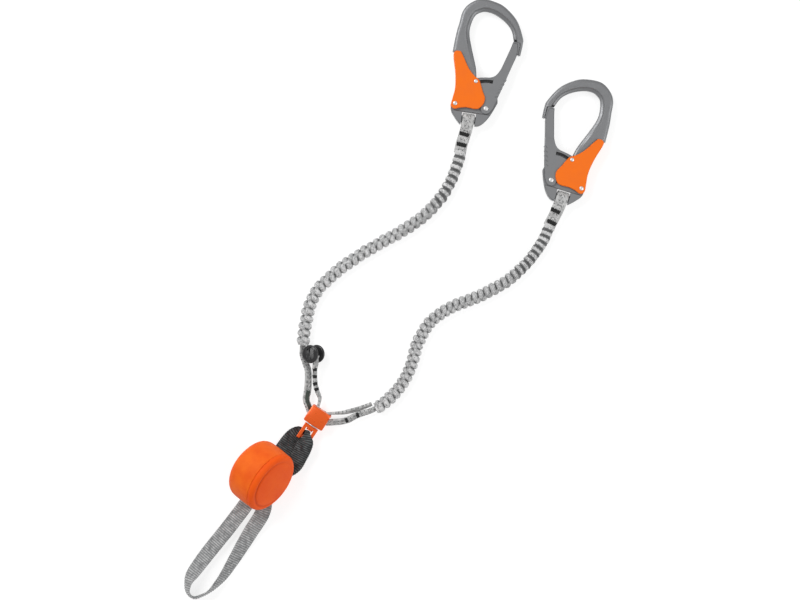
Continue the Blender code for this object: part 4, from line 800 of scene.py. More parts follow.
# share of the width and length; radii of the shank and head and height of the seat in mm; body
PIVOTS = {"gate_rivet": (GATE_PIVOT_SHARES, 1.8, 2.6, 6.6, "carabiner"),
          "lever_rivet": ((-0.226, 0.152), 1.5, 2.3, 8.7, "carabiner"),
          "lock_pin": (LOCK_PIN_SHARES, 1.3, 2.1, 8.7, "lever_body")}
HEAD_HEIGHT = 0.6 * MM
GATE_SPRING = [(0.080, 0.322), (0.180, 0.334), (0.290, 0.330), (0.345, 0.343), (0.352, 0.366), (0.335, 0.388),
               (0.322, 0.399)]
GATE_SPRING_LEVEL, GATE_SPRING_WIRE = 2.9 * MM, 0.5 * MM
SPRING_TURNS, SPRING_RADIUS, LEVER_SPRING_WIRE = 4, 1.9 * MM, 0.4 * MM
COIL_FROM_SHARES, COIL_TO_SHARES = (-0.288, 0.446), (-0.234, 0.446)
COIL_INSET, COIL_SEAT = 0.7 * MM, 6.3 * MM  # inside the lever, and down in the frame's pocket

mouth = in_carabiner([COIL_FROM_SHARES])[0] + (COIL_INSET, 0)
coil_end = in_carabiner([COIL_TO_SHARES])[0, 0] + COIL_SEAT
t = np.linspace(0, 1, 24 * SPRING_TURNS)
coil_path = np.column_stack([mouth[0] + (coil_end - mouth[0]) * t,
                             mouth[1] + SPRING_RADIUS * np.cos(2 * math.pi * SPRING_TURNS * t),
                             SPRING_RADIUS * np.sin(2 * math.pi * SPRING_TURNS * t)])
bent_path = smooth_path(in_carabiner(GATE_SPRING), 40)
bent_path = np.column_stack([bent_path, np.full(len(bent_path), GATE_SPRING_LEVEL)])
for side, place in CARABINERS.items():
    for kind, (spot, shank, head, seat, body) in PIVOTS.items():
        rings = turned(rivet_profile(shank * MM, head * MM, seat * MM, HEAD_HEIGHT))
        rings = to_world(place, rings + (*in_carabiner([spot])[0], 0))
        pin = swept(f"{side}_{kind}_domed", rings, STEEL, f"{side}_{body}")
        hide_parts(f"{side}_{kind}")
    rings = wire_rings(to_world(place, bent_path), GATE_SPRING_WIRE)
    spring = swept(f"{side}_gate_spring_wire", rings, STEEL, f"{side}_carabiner")
    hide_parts(f"{side}_gate_spring")
    rings = wire_rings(to_world(place, coil_path), LEVER_SPRING_WIRE, 8, place[:3, 0])
    coil = swept(f"{side}_lever_spring_coil", rings, STEEL, f"{side}_carabiner")
    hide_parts(f"{side}_lever_spring")
    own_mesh(coil)
print("rivets and springs ready")

# %% [markdown]
# Webbing is a flat woven band. Its section is a wide, thin shape with rounded selvedges, and the band
# needs to know at every step where its width points, so a route holds six numbers per knot: the place and
# the direction of the width. Ribs are real: the section grows and shrinks with the weft.


# %% Webbing bands
RIB_SELVEDGE = 0.02           # how much a rib widens the band, as a share of its width
HALF_POINTS = 15              # across one face of a band
LONG_RIPPLE, SHORT_RIPPLE, SHORT_SHARE = 9 * MM, 4 * MM, 0.6


def band(name, knots, width, thickness, finish, body, step=0.8 * MM, rib_pitch=None, rib_depth=0.0, curl=0.0,
         ripple=0.0, seed=0):
    """A flat band along knots of (x, y, z, width direction x, y, z, and the width where it changes): across
    it, place is w sin(a) / 2 and half thickness is t sqrt(1 - sin(a)^8) / 2; ribs multiply the thickness by
    1 + depth sin(2 pi s / pitch), and its two edges curl down."""
    knots = np.array(knots, float)
    count = int(distance_along(smooth_path(knots, 200))[-1] / step) + 2
    path = smooth_path(knots, count)
    along = distance_along(path)
    centre = path[:, :3]
    forward = unit(np.gradient(centre, axis=0))
    side = unit(path[:, 3:6] - forward * np.sum(path[:, 3:6] * forward, axis=1, keepdims=True))
    normal = np.cross(forward, side)
    wide = path[:, 6] if knots.shape[1] > 6 else np.full(count, width)
    across = np.sin(np.linspace(math.pi / 2, -math.pi / 2, HALF_POINTS))
    half = np.sqrt(np.clip(1 - across ** 8, 0, 1)) / 2
    place = np.concatenate([across, across[-2:0:-1]])
    high = np.concatenate([half, -half[-2:0:-1]])
    ribs = np.sin(2 * math.pi * along / rib_pitch) if rib_pitch else np.zeros(count)
    phase = np.random.default_rng(seed).random(3) * 6
    ripples = ripple * (np.sin(along / LONG_RIPPLE + phase[0])
                        + SHORT_SHARE * np.sin(along / SHORT_RIPPLE + phase[1]))
    lift = high * thickness * (1 + rib_depth * ribs)[:, None] - curl * place ** 2 + ripples[:, None]
    out = place * (wide * (1 + RIB_SELVEDGE * ribs))[:, None] / 2
    rings = centre[:, None] + out[..., None] * side[:, None] + lift[..., None] * normal[:, None]
    rings[..., 2] = np.maximum(rings[..., 2], REST)
    made = swept(name, rings, finish, body, along, out + BAND_MIDDLE)
    made["band_length"] = float(along[-1])
    return made


def bar_tack(centre, along, across, reach, depth, points, radius):
    """One thick thread to and fro across the band, on its surface."""
    t = np.linspace(-1, 1, points)[:, None]
    saw = np.where(np.arange(points) % 2 == 0, 1.0, -1.0)[:, None]
    knots = np.array(centre) + t * reach / 2 * np.array(across) + saw * depth / 2 * np.array(along)
    path = smooth_path(knots, 6 * points)
    return wire_rings(path, radius, 8), ring_faces(len(path), 8)


# Woven polyester, pale: its dashes lie in pairs on the flat face
EYE_WEBBING = woven("woven_polyester_eye", "#D2D2D1", "#A2A2A2", 0.20, pairs=(5.4 * MM, 4.0 * MM),
                    fleck_colour="#3A3C3D")
# Bonded nylon thread: black and matt, so a tack reads as one dark bar
THREAD = woven("bonded_nylon_thread_black", "#18191A", "#101111", 0, thread=0.7 * MM, rough=0.8, sheen=0.05)
print("webbing ready")

# %% [markdown]
# At the carabiner the arm's tube is flattened, carried round the web bar and sewn back onto itself with
# two black bar tacks. A bar tack is a dense zigzag of thread that holds the full load.

# %% Carabiner eyes
EYE_ROUTES = {"left": [(0.0655, 0.1610), (0.0675, 0.1706), (0.0705, 0.1800), (0.0725, 0.1870)],
              "right": [(0.1635, 0.0810), (0.1655, 0.0850), (0.1693, 0.0924), (0.1734, 0.1011)]}
EYE_TACKS = {"left": [(464.1, 134.4), (461.4, 144.9)], "right": [(555.0, 211.0), (551.5, 222.6)]}
EYE_WIDTH, EYE_LAYER, BAR_BEND = 13.4 * MM, 2.4 * MM, 5.65 * MM
LAYERS_APART = 2.5 * MM
BAR_SPREAD_SHARE = 0.62       # of the bend: how far from the middle each layer is beside the bar
EYE_TACK_REACH, EYE_TACK_DEPTH, EYE_TACK_RADIUS, EYE_TACK_LIFT = 10.2 * MM, 4.0 * MM, 0.78 * MM, 0.3 * MM
CAMERA_HEIGHT = camera.location.z


def on_photo(pixel, height):
    """The point at that height that the camera sees at a pixel of the picture."""
    shrink = (CAMERA_HEIGHT - height) / CAMERA_HEIGHT * PIXEL
    return np.array([(pixel[0] - PICTURE_WIDTH / 2) * shrink, (PICTURE_HEIGHT / 2 - pixel[1]) * shrink,
                     height])


for side, place in CARABINERS.items():
    plan = np.array(EYE_ROUTES[side])
    bar_along = unit(np.array([place[0, 1], place[1, 1], 0.0]))
    bar_across = np.array([bar_along[1], -bar_along[0], 0.0])
    way = unit(np.gradient(plan, axis=0))
    aside = np.column_stack([way[:, 1], -way[:, 0], np.zeros(len(plan))])
    rise = np.linspace(0, 1, len(plan))
    middle = ARM_HEIGHT + (CARABINER_HEIGHT - ARM_HEIGHT) * rise
    apart = LAYERS_APART / 2 + (BAR_SPREAD_SHARE * BAR_BEND - LAYERS_APART / 2) * ramp(rise, 0.72, 1)
    upper = np.column_stack([plan, middle + apart, aside])
    lower = np.column_stack([plan, middle - apart, aside])[::-1]
    bearing = np.radians([105, 75, 45, 15, -15, -45, -75, -105])[:, None]
    wrap = place[:3, 3] + BAR_BEND * (np.cos(bearing) * bar_along + np.sin(bearing) * np.array([0, 0, 1.0]))
    wrap = np.column_stack([wrap, np.tile(bar_across, (len(bearing), 1))])
    eye = band(f"{side}_sewn_eye", np.vstack([upper, wrap, lower]), EYE_WIDTH, EYE_LAYER, EYE_WEBBING,
               "arms_and_swivel_head", seed=5)
    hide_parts(f"{side}_carabiner_eye")
    parts = []
    for pixel in EYE_TACKS[side]:
        spot = on_photo(pixel, ARM_HEIGHT)
        near = int(np.argmin(np.linalg.norm(plan - spot[:2], axis=1)))
        top = np.interp(np.linalg.norm(spot[:2] - plan[0]), np.linalg.norm(plan - plan[0], axis=1),
                        middle + apart) + EYE_LAYER / 2 + EYE_TACK_LIFT
        parts.append(bar_tack((*spot[:2], top), (*way[near], 0.0), aside[near],
                              EYE_TACK_REACH, EYE_TACK_DEPTH, 11, EYE_TACK_RADIUS))
    points, faces = shells(*parts)
    tacks = piece_from(f"{side}_eye_bar_tacks", points, faces, THREAD, "arms_and_swivel_head")
    print(eye.name, "band length", round(eye["band_length"] / MM, 1), "mm")

# %% [markdown]
# At the swivel each arm's webbing narrows to a band on edge, passes round a post inside the orange head
# and comes back. The left one comes back to the keeper button, the right one to its own arm. The bands
# lean a little, so that the camera sees part of their patterned faces.

# %% Swivel loops
LOOP_WIDTH, LOOP_THICKNESS = 9.0 * MM, 3.0 * MM
POST_BEND, POST_ACROSS, POST_ALONG = 5.2 * MM, 8.8 * MM, 5.0 * MM
POST_LEAN_DEG = (46, 26, 6, 0, 0, 0, 0)
CORE_BEND = 4.8 * MM
# Woven polyester, pale: narrow, with its dashes close together and more of the dark flecks
LOOP_WEBBING = woven("woven_polyester_loop", "#D6D6D5", "#8E8F8F", 0.34, thread=1.0 * MM,
                     pairs=(4.6 * MM, 3.6 * MM))


def post_turn(side, first, last):
    """Knots round one of the head's posts between two bearings in degrees. The band stands upright there, and
    its first knots still lean over to the right of its way as the strand before them does."""
    centre = to_world(SWIVEL, np.array([side * POST_ACROSS, POST_ALONG, 0.0]))
    bearing = np.radians(np.linspace(first, last, 7))
    spots = centre + POST_BEND * np.column_stack([np.cos(bearing), np.sin(bearing), 0 * bearing])
    lean = np.radians(POST_LEAN_DEG)
    right_of_way = np.sign(last - first) * np.column_stack([np.cos(bearing), np.sin(bearing)])
    return np.column_stack([spots, right_of_way * np.sin(lean)[:, None], np.cos(lean)])


def leaning(plan, heights, lean_deg):
    """Knots of an upright band that leans over to the right of its way by an angle at each knot."""
    plan = np.array(plan, float)
    way = unit(np.gradient(plan, axis=0))
    lean = np.radians(np.broadcast_to(lean_deg, len(plan)))
    aside = np.column_stack([way[:, 1], -way[:, 0]])
    return np.column_stack([plan, heights, aside * np.sin(lean)[:, None], np.cos(lean)])


LEFT_DOWN = [(-0.1061, -0.0465), (-0.1066, -0.0530), (-0.1068, -0.0600), (-0.1036, -0.0690),
             (-0.1010, -0.0765), (-0.1005, -0.0870), (-0.1012, -0.0990), (-0.1027, -0.1090)]
LEFT_UP = [(-0.0878, -0.1080), (-0.0902, -0.1010), (-0.0925, -0.0930), (-0.0932, -0.0850), (-0.0930, -0.0760)]
RIGHT_DOWN = [(-0.0221, -0.1164), (-0.0275, -0.1192), (-0.0331, -0.1217), (-0.0471, -0.1262),
              (-0.0600, -0.1322)]
RIGHT_UP = [(-0.0650, -0.1236), (-0.0560, -0.1220), (-0.0440, -0.1188), (-0.0310, -0.1138)]
LEFT_DOWN_LEAN, LEFT_UP_LEAN = (30, 30, 32, 38, 44, 46, 56, 50), (-10, -18, -20, -20, -18)
RIGHT_DOWN_LEAN, RIGHT_UP_LEAN = (24, 28, 32, 42, 46), (-14, -24, -24, -18)
BUTTON_REACH = 11.2 * MM      # the height at which the left loop comes to the button
BUTTON_ENTRY, CORE_BEARINGS_DEG = (2.6 * MM, -11.2 * MM, 0), (-50, -35, -20)
low = SWIVEL_HEIGHT
core_bearing = np.radians(CORE_BEARINGS_DEG)
core = CORE_BEND * np.column_stack([np.cos(core_bearing), np.sin(core_bearing), 0 * core_bearing])
core = to_world(BUTTON, np.vstack([[BUTTON_ENTRY], core]))
left_knots = np.vstack([leaning(LEFT_DOWN, [ARM_HEIGHT] * 5 + [low] * 3, LEFT_DOWN_LEAN),
                        post_turn(-1, 165, 380), leaning(LEFT_UP, [low] * 4 + [BUTTON_REACH], LEFT_UP_LEAN),
                        np.column_stack([core, np.tile(BUTTON_AXIS, (len(core), 1))])])
right_knots = np.vstack([leaning(RIGHT_DOWN, [ARM_HEIGHT] * 2 + [low] * 3, RIGHT_DOWN_LEAN),
                         post_turn(1, -70, -245), leaning(RIGHT_UP, [low] * 4, RIGHT_UP_LEAN)])
for side, knots in (("left", left_knots), ("right", right_knots)):
    loop = band(f"{side}_loop_webbing", knots, LOOP_WIDTH, LOOP_THICKNESS, LOOP_WEBBING,
                "arms_and_swivel_head")
    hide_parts(f"{side}_swivel_loop")
    print(loop.name, "band length", round(loop["band_length"] / MM, 1), "mm")

# %% [markdown]
# Where the left loop runs into the head, its dark inner face shows: a thin strip just over the band.

# %% Dark inside of the left loop
LINING_WIDTH, LINING_THICKNESS, LINING_GAP = 5.2 * MM, 0.3 * MM, 0.2 * MM
# Woven polyester, dark grey green: the plain back of the webbing
LINING = woven("woven_polyester_dark_green", "#4A564E", "#333B36", 0, thread=0.9 * MM)
inside = left_knots[5:10].copy()
outward = unit(np.cross(unit(np.gradient(inside[:, :3], axis=0)), inside[:, 3:6]))
inside[:, :3] += outward * np.sign(outward[:, 2:3]) * (LOOP_THICKNESS / 2 + LINING_GAP)
lining = band("left_loop_lining", inside[1:], LINING_WIDTH, LINING_THICKNESS, LINING, "arms_and_swivel_head")
print("lining", round(lining["band_length"] / MM, 1), "mm long")

# %% [markdown]
# The loops are closed with narrow bar tacks too, four on the left one and two on the right one. Each is
# set where the camera sees it, at a pixel of the picture.

# %% Bar tacks of the loops
LOOP_TACK_RADIUS = 0.6 * MM
LOOP_TOP = low + LOOP_WIDTH / 2 + 0.1 * MM
# pixel, and millimetres above the band's top edge
LEFT_TACKS = [(315.3, 368.2, 2.4), (314.8, 376.7, 0.2), (315.0, 383.8, 0), (315.4, 389.6, 0)]
RIGHT_TACKS = [(346, 419, 0), (357.5, 414.7, 0)]


def over_band(pixel, route, height, reach, depth):
    """A bar tack on top of a band, square to the route at the pixel."""
    plan = smooth_path(np.array(route, float), 200)
    near = int(np.argmin(np.linalg.norm(plan - on_photo(pixel, height)[:2], axis=1)))
    way = unit(np.gradient(plan, axis=0))[near]
    return bar_tack((*plan[near], height), (*way, 0), (way[1], -way[0], 0), reach, depth, 7, LOOP_TACK_RADIUS)


points, faces = shells(*(over_band(pixel, route, LOOP_TOP + rise * MM, reach, depth)
                         for tacks, route, reach, depth in ((LEFT_TACKS, LEFT_UP, 4.4 * MM, 3.2 * MM),
                                                            (RIGHT_TACKS, RIGHT_DOWN[1:], 4.6 * MM, 2.9 * MM))
                         for *pixel, rise in tacks))
loop_tacks = piece_from("loop_bar_tacks", points, faces, THREAD, "arms_and_swivel_head")
print(len(LEFT_TACKS) + len(RIGHT_TACKS), "bar tacks on the loops")

# %% [markdown]
# The swivel is orange anodised aluminium: a head with two posts, a riveted axle with a washer, and a
# shackle below it. The rounding of the edges and the glossier finish set it apart from the nylon levers.

# %% Swivel
for name, node, radius, finish, body, slot_name in (
        ("swivel_block", "swivel_head", 0.9 * MM, ORANGE_ALLOY, "arms_and_swivel_head", "orange_alloy"),
        ("swivel_yoke", "swivel_shackle", 0.5 * MM, ORANGE_ALLOY, "pouch_and_tie_in", "orange_alloy"),
        ("swivel_rivet", "swivel_axle", 0.3 * MM, ORANGE_ALLOY, "arms_and_swivel_head", "orange_alloy"),
        ("swivel_bearing_washer", "swivel_washer", 0.15 * MM, STEEL, "pouch_and_tie_in", "steel")):
    made = rounded(name, node, radius, finish, body, 3)
    print(name, "stands for", node)

# %% [markdown]
# Below the swivel one black band of webbing goes through the shackle and round its bar, so it shows as two
# lobes, one over the other. It is thick ribbed webbing: each weft row is a ridge, drawn at 2.3 mm.

# %% Link webbing
LINK_SIZE, BAR_ALONG = 17.8 * MM, -26.05 * MM
LINK_THICKNESS, LINK_RIB = 2.5 * MM, 2.3 * MM
# across, along from the bar, height and width, as shares of the webbing's width: it comes up from the pouch
# on the left, goes through the shackle from below and comes down on the right
LINK_ROUTE = [
    (-0.68, -2.50, 0.36, 0.92), (-0.63, -1.90, 0.15, 1.16), (-0.64, -1.25, -0.16, 1.10),
    (-0.65, -0.72, -0.34, 1.02), (-0.58, -0.28, -0.37, 0.96), (-0.42, 0.04, -0.37, 0.80),
    (-0.18, 0.20, -0.37, 0.44), (-0.02, 0.32, -0.31, 0.30), (0.00, 0.38, -0.10, 0.34),
    (0.00, 0.38, 0.10, 0.36), (0.03, 0.31, 0.31, 0.36), (0.13, 0.10, 0.38, 0.62), (0.25, -0.18, 0.36, 0.92),
    (0.31, -0.62, 0.30, 1.04), (0.38, -1.15, 0.20, 1.02), (0.42, -1.75, 0.14, 1.00),
    (0.30, -2.25, 0.24, 0.80), (-0.04, -2.75, 0.50, 0.50)]
# Woven polyamide, black: deep painted shade between the ribs, where the light grazes them
BLACK_WEBBING = woven("woven_polyamide_black", "#646A6B", "#121314", 0.05, rib=LINK_RIB, rib_depth=1.0,
                      fleck_colour="#552C2C", sheen=0.03)
knots = np.array(LINK_ROUTE) * LINK_SIZE + (0, BAR_ALONG, 0, 0)
knots = np.column_stack([to_world(SWIVEL, knots[:, :3]), np.tile(SWIVEL[:3, 0], (len(knots), 1)),
                         knots[:, 3]])
link = band("link_ribbed_webbing", knots, None, LINK_THICKNESS, BLACK_WEBBING, "pouch_and_tie_in", 0.5 * MM,
            LINK_RIB, 0.24, curl=0.5 * MM)
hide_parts("link_webbing")
print("link length", round(link["band_length"] / MM, 1), "mm")

# %% [markdown]
# The tie-in loop leaves the pouch lying flat, rolls over onto its edge round the far turn and comes back.
# It is flat ribbed webbing too, in grey. Its length is a size of its own, since a shop would make it longer.

# %% Tie-in loop
TIE_LENGTH, TIE_WIDTH, TIE_THICKNESS, TIE_RIB = 126 * MM, 16.8 * MM, 1.8 * MM, 2.5 * MM
TIE_START = -113 * MM
# across and along as shares of its length, its roll in degrees, its lift as a share
TIE_ROUTE = [
    (-0.091, -0.110, 0, 0.090), (-0.098, -0.020, 0, 0.086), (-0.100, 0.067, 0, 0.080),
    (-0.118, 0.345, 5, 0.050), (-0.143, 0.613, 12, 0.020), (-0.155, 0.818, 30, 0.008),
    (-0.146, 0.919, 56, 0.004), (-0.100, 0.994, 70, 0.002), (-0.027, 1.004, 74, 0.002),
    (0.026, 0.941, 78, 0.002), (0.056, 0.880, 78, 0.002), (0.072, 0.811, 68, 0.003),
    (0.083, 0.713, 57, 0.004), (0.083, 0.598, 46, 0.008), (0.076, 0.447, 32, 0.015),
    (0.067, 0.271, 15, 0.034), (0.062, 0.080, 0, 0.066), (0.028, -0.025, 0, 0.096),
    (-0.034, -0.110, 0, 0.134)]
# Woven polyester, grey: every weft rib stands out against painted shade in the valley beside it
TIE_WEBBING = woven("woven_polyester_grey", "#CBCCCC", "#737475", 0, rib=TIE_RIB, rib_depth=0.95)
TIE_CLEARANCE = 1.2 * MM      # of the lying webbing's middle, above the surface
across, along, roll, lift = np.array(TIE_ROUTE).T
height = TIE_WIDTH / 2 * np.sin(np.radians(roll)) + TIE_CLEARANCE + lift * TIE_LENGTH - SWIVEL_HEIGHT
route = smooth_path(np.column_stack([across * TIE_LENGTH, TIE_START - along * TIE_LENGTH, height,
                                     np.radians(roll)]), 90)
way = unit(np.gradient(route[:, :2], axis=0))
flat = np.cos(route[:, 3])
sides = np.column_stack([-way[:, 1] * flat, way[:, 0] * flat, np.sin(route[:, 3])])
knots = np.column_stack([to_world(SWIVEL, route[:, :3]), sides @ SWIVEL[:3, :3].T])
tie = band("tie_in_webbing_loop", knots, TIE_WIDTH, TIE_THICKNESS, TIE_WEBBING, "pouch_and_tie_in", 0.45 * MM,
           TIE_RIB, 0.30, curl=0.35 * MM, ripple=0.12 * MM, seed=4)
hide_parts("tie_in_loop")
print("tie-in loop length", round(tie["band_length"] / MM, 1), "mm")

# %% [markdown]
# The pouch is a soft oval case of coated fabric over thin foam, with a cap that opens when the tear webbing
# deploys. Its surface is worked out from two parameters: the angle round the oval, and the distance along a
# profile that runs over the back, up the side, over the rim and down the inner wall. Slow folds and a
# bulge between the ends make it soft, and the cap's front has a sunken welt seam near its edge, darkened
# along it by painted shade.

# %% Pouch
HALF_DEPTH, HALF_HEIGHT, HALF_LENGTH = 30 * MM, 34.5 * MM, 20.75 * MM
RIM = 14.45 * MM
WALL, BACK_WALL, BACK_ROUND, INNER_ROUND = 3 * MM, 4.5 * MM, 10 * MM, 7 * MM
OUTER_LIP, INNER_LIP = 0.3 * MM, 0.5 * MM
LID_EDGE, LID_ROUND = 14.6 * MM, 5.5 * MM
WELT_SHARE, WELT_DEPTH, WELT_REACH = 0.80, 0.9 * MM, 1.3 * MM
POUCH_POINTS, MIDDLE_SHARE = 150, 0.01
LID_CROWN = [(0.6, 0.5 * MM), (0.3, 0.9 * MM), (MIDDLE_SHARE, 1.0 * MM)]   # share of the radius, rise
GIRTH_RADIUS = HALF_DEPTH + 2 * MM          # turns an angle round the pouch into a length for the weave
# The last colour is painted shade, laid along the sunken welt on the cap
FABRIC_THREAD, FABRIC_CLOUDS, FABRIC_DEPTH, WELT_SHADE_COLOUR = 0.8 * MM, 16 * MM, 0.06 * MM, "#A83008"
SHELL_FOLDS, LID_FOLDS, SHELL_BULGE = 0.30 * MM, 0.12 * MM, 0.7 * MM
FOLD_FADE_SHARE = 1 / 1.6     # of the radius: inside it the folds die out towards the middle


def fabric(name, colour, dark):
    """Coated woven fabric: a fine plain weave on the weave map as bump, slow clouds in its colour, painted
    shade along the welt, a sheen.
    """
    made, tree, shader = new_material(name, colour, 0.62, Sheen_Weight=0.04, Sheen_Roughness=0.4,
                                      Sheen_Tint=linear("#FF9A50"), Specular_IOR_Level=0.2)
    place = add(tree, "ShaderNodeTexCoord").outputs["Object"]
    shade = carried(tree, clouds(tree, place, FABRIC_CLOUDS), *CLOUD_SPAN)
    tone = blended(tree, shade, linear(colour), linear(dark))
    # Painted shade along the welt, from the numbers that the points hold
    tone = blended(tree, held(tree, "welt_shade"), tone, linear(WELT_SHADE_COLOUR))
    weave = add(tree, "ShaderNodeUVMap", uv_map="weave").outputs["UV"]
    along, across, _ = add(tree, "ShaderNodeSeparateXYZ", {0: weave}).outputs
    height = compute(tree, "MULTIPLY", sine(tree, along, FABRIC_THREAD), sine(tree, across, FABRIC_THREAD))
    link_surface(tree, shader, tone, height, 0.3, FABRIC_DEPTH)
    return made


def soft_oval(name, profile, steps, folds, finish, seed, bulge=0.0, welt=False):
    """Rings round the oval for a profile of (radius share, height) pairs, pushed out by slow folds, which are
    sums of sines of the angle, and by a bulge of 1 - (distance from the middle)^2. The welt sinks the front
    face by its depth times exp(-(d / reach)^2), most on the lower left, and half of that is held as painted
    shade along the welt."""
    share, height = smooth_line(profile, steps).T[..., None]
    angle = np.linspace(0, 2 * math.pi, POUCH_POINTS, endpoint=False)[None, :]
    phase = np.random.default_rng(seed).random(6) * 2 * math.pi
    soft = (np.sin(2 * angle + phase[0]) + 0.7 * np.sin(3 * angle + phase[1] + height / (11 * MM))
            + 0.45 * np.sin(5 * angle + phase[2] - height / (7 * MM)))
    middle = (height.max() + height.min()) / 2
    outward = (folds * soft * ramp(share, 0, FOLD_FADE_SHARE)
               + bulge * np.clip(1 - ((height - middle) / (height.max() - middle)) ** 2, 0, 1))
    sunk = 0 * soft
    if welt:
        from_welt = (share - WELT_SHARE) * HALF_HEIGHT / WELT_REACH
        sunk = np.exp(-from_welt ** 2) * (height > middle) * (0.5 + 0.5 * np.cos(angle - 0.7))
    local = np.stack([(share * HALF_DEPTH + outward) * np.cos(angle),
                      (share * HALF_HEIGHT + outward) * np.sin(angle), height - WELT_DEPTH * sunk], axis=-1)
    rings = to_world(POUCH, local)
    rings[..., 2] = np.maximum(rings[..., 2], REST)
    along = distance_along(np.column_stack([share * HALF_HEIGHT, height, 0 * height]))
    around = np.broadcast_to(GIRTH_RADIUS * angle, soft.shape)
    made = swept(name, rings, finish, "pouch_and_tie_in", along, around, 70)
    # Painted shade along the welt, half as strong as its sinking
    hold(made, "welt_shade", 0.5 * sunk)
    return made


def smooth_line(profile, steps):
    """A profile of (share, height) pairs as evenly spaced points, spaced by real distance."""
    real = np.array(profile) * (HALF_HEIGHT, 1)
    return spaced(np.column_stack([real, 0 * real[:, 0]]), steps)[:, :2] / (HALF_HEIGHT, 1)


def quarter(centre_share, centre_height, radius, first, last, count=9):
    """An arc of the profile between two bearings in degrees."""
    bend = np.radians(np.linspace(first, last, count))
    return [(centre_share + radius * math.cos(b) / HALF_HEIGHT, centre_height + radius * math.sin(b))
            for b in bend]


def inset(distance):
    """The radius share that lies that far inside the outer wall."""
    return 1 - distance / HALF_HEIGHT


# Coated fabric, orange: matt, with a faint sheen where it turns away; the cap's is a deeper orange
SHELL_FABRIC = fabric("coated_fabric_orange", "#F26A10", "#E85608")
LID_FABRIC = fabric("coated_fabric_deep_orange", "#F25C06", "#EC5204")
shell_profile = [(MIDDLE_SHARE, -HALF_LENGTH),
                 *quarter(inset(BACK_ROUND), BACK_ROUND - HALF_LENGTH, BACK_ROUND, -90, 0),
                 *quarter(inset(OUTER_LIP), RIM - OUTER_LIP, OUTER_LIP, 0, 90, 4),
                 *quarter(inset(WALL - INNER_LIP), RIM - INNER_LIP, INNER_LIP, 90, 180, 4),
                 *quarter(inset(WALL + INNER_ROUND), BACK_WALL - HALF_LENGTH + INNER_ROUND, INNER_ROUND,
                          0, -90),
                 (MIDDLE_SHARE, BACK_WALL - HALF_LENGTH)]
shell = soft_oval("pouch_body", shell_profile, 130, SHELL_FOLDS, SHELL_FABRIC, 2, bulge=SHELL_BULGE)
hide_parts("pouch_shell")
lid_profile = [(MIDDLE_SHARE, LID_EDGE),
               *quarter(inset(OUTER_LIP), LID_EDGE + OUTER_LIP, OUTER_LIP, -90, 0, 3),
               *quarter(inset(LID_ROUND), HALF_LENGTH - LID_ROUND, LID_ROUND, 0, 84, 12),
               *((share, HALF_LENGTH + rise) for share, rise in LID_CROWN)]
lid = soft_oval("pouch_cap", lid_profile, 110, LID_FOLDS, LID_FABRIC, 6, welt=True)
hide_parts("pouch_lid")
print("pouch", round(2 * HALF_DEPTH / MM), "by", round(2 * HALF_HEIGHT / MM), "mm")

# %% [markdown]
# Inside, the energy absorber is one long webbing sewn to itself in folds, which tear apart in a fall.

# %% Tear webbing
FOLDS, FOLD_PITCH, PACK_THICKNESS, PACK_CLEARANCE = 7, 4.5 * MM, 3.2 * MM, 2.5 * MM
inner_depth, inner_height = HALF_DEPTH - WALL, HALF_HEIGHT - WALL
low_end, high_end = -HALF_LENGTH + BACK_WALL + PACK_CLEARANCE, RIM
depths = inner_depth - WALL - PACK_THICKNESS - FOLD_PITCH * np.arange(FOLDS)
reach = (inner_height * np.sqrt(1 - ((np.abs(depths) + PACK_THICKNESS) / inner_depth) ** 2)
         - FOLD_PITCH / 2 - WALL)
ends = np.minimum(reach, np.append(reach[1:], reach[-1]))
plan = [(depths[0], -reach[0])]
for k in range(FOLDS - 1):
    bend = np.radians([90, 45, 0, -45, -90])
    turn = -1 if k % 2 else 1
    plan += [(depths[k] - FOLD_PITCH / 2 * (1 - math.sin(b)), turn * (ends[k] + FOLD_PITCH / 2 * math.cos(b)))
             for b in bend]
plan.append((depths[-1], (-1 if (FOLDS - 1) % 2 else 1) * reach[-1]))
knots = np.column_stack([plan, np.full(len(plan), (low_end + high_end) / 2)])
knots = np.column_stack([to_world(POUCH, knots), np.tile(POUCH[:3, 2], (len(knots), 1))])
pack = band("tear_webbing_folds", knots, high_end - low_end, PACK_THICKNESS, TIE_WEBBING, "pouch_and_tie_in",
            1.0 * MM, TIE_RIB, 0.10)
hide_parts("tear_webbing_pack")
print("tear webbing", round(pack["band_length"] / MM, 1), "mm")

# %% [markdown]
# The keeper button holds the end of the left loop: two moulded discs on a core, with the webbing between
# them. The front disc has an arched pocket with a rib down its middle, where a thumb finds it.

# %% Keeper button
DISC_RADIUS, DISC_INNER, DISC_OUTER, DISC_ROUND = 10 * MM, 5 * MM, 8 * MM, 1.5 * MM
FLAT_SHARE = 0.86             # of the disc's radius, inside its rounded edge
FACE_RINGS, DISC_POINTS = 60, 160
ARCH_HALF_WIDTH, RIB_HALF_WIDTH = 4.4 * MM, 0.7 * MM
ARCH_MIDDLE, ARCH_TOP, ARCH_FOOT, RIB_MIDDLE = 0.5 * MM, 3.0 * MM, -3.6 * MM, -1.2 * MM
POCKET_DEPTH, LIP_HEIGHT, DOME_HEIGHT = 2.5 * MM, 0.25 * MM, 0.5 * MM
ARCH_WALL, RIB_WALL, LIP_MIDDLE, LIP_REACH = 0.5 * MM, 0.3 * MM, -0.4 * MM, 0.6 * MM
CORE_RADIUS, CORE_HALF = 3 * MM, 4.7 * MM
CORE_EDGE = 0.2 * MM          # a ring this near each end keeps the core's edge crisp


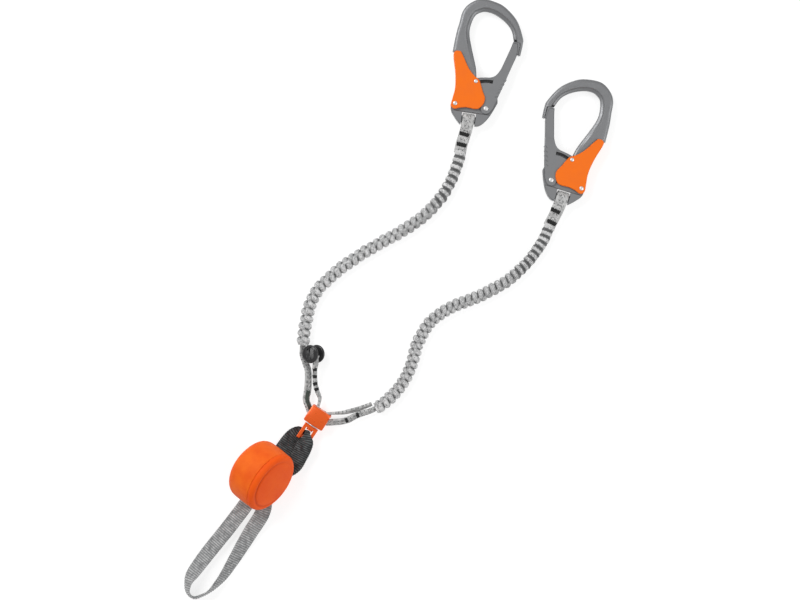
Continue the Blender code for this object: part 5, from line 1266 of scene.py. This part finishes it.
def disc_rings(pocket):
    """A disc as rings of a turned profile; the outer face is a low dome and sinks by pocket where it lies
    inside the arch, which has a round top, and the rib in it stays proud."""
    over, under = np.radians(np.linspace(10, 90, 7)), np.radians(np.linspace(75, 0, 6))
    radius = DISC_RADIUS * np.concatenate([
        np.linspace(0.02, FLAT_SHARE, FACE_RINGS), FLAT_SHARE + (1 - FLAT_SHARE) * np.sin(over),
        FLAT_SHARE + (1 - FLAT_SHARE) * np.sin(under), [0.5, 0.02]])[:, None]
    height = np.concatenate([
        np.full(FACE_RINGS, DISC_OUTER), DISC_OUTER - DISC_ROUND * (1 - np.cos(over)),
        DISC_INNER + DISC_ROUND * (1 - np.cos(under)), [DISC_INNER, DISC_INNER]])[:, None]
    angle = np.linspace(0, 2 * math.pi, DISC_POINTS, endpoint=False)
    x, y = radius * np.cos(angle), radius * np.sin(angle)
    outer_face = (np.arange(len(radius)) < FACE_RINGS)[:, None]
    past_ends = np.maximum(y - ARCH_TOP, 0) + np.maximum(ARCH_FOOT - y, 0) * 1.5
    arch = ARCH_HALF_WIDTH - np.hypot(x - ARCH_MIDDLE, past_ends)
    rib = RIB_HALF_WIDTH - np.abs(x - RIB_MIDDLE)
    sunk = ramp(arch, 0, ARCH_WALL) * ramp(rib, RIB_WALL, 0)
    lip = LIP_HEIGHT * np.exp(-((arch - LIP_MIDDLE) / LIP_REACH) ** 2) * (y > 0) * (pocket > 0)
    slope = 0.5 + 0.5 * np.clip((0.75 * x + 0.66 * y - 2.0 * MM) / (3.6 * MM), -1, 1)
    fall = DOME_HEIGHT * (radius / DISC_RADIUS) ** 2 + pocket * sunk * (0.25 + 0.75 * slope)
    return np.stack([x, y, height + outer_face * (lip - fall)], axis=-1)


for name, node, facing, pocket in (("button_front_disc", "keeper_button_front", 1, POCKET_DEPTH),
                                   ("button_back_disc", "keeper_button_back", -1, 0.0)):
    rings = disc_rings(pocket) * (1, facing, facing)
    disc = swept(name, to_world(BUTTON, rings), ACETAL, "arms_and_swivel_head", smooth_angle=60)
    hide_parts(node)
CORE_LEVELS = (-CORE_HALF, CORE_EDGE - CORE_HALF, CORE_HALF - CORE_EDGE, CORE_HALF)
rings = turned([(CORE_RADIUS, z) for z in CORE_LEVELS], 24)
core_pin = swept("button_core_pin", to_world(BUTTON, rings), ACETAL, "arms_and_swivel_head")
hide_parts("keeper_button_core")
print("button ready")
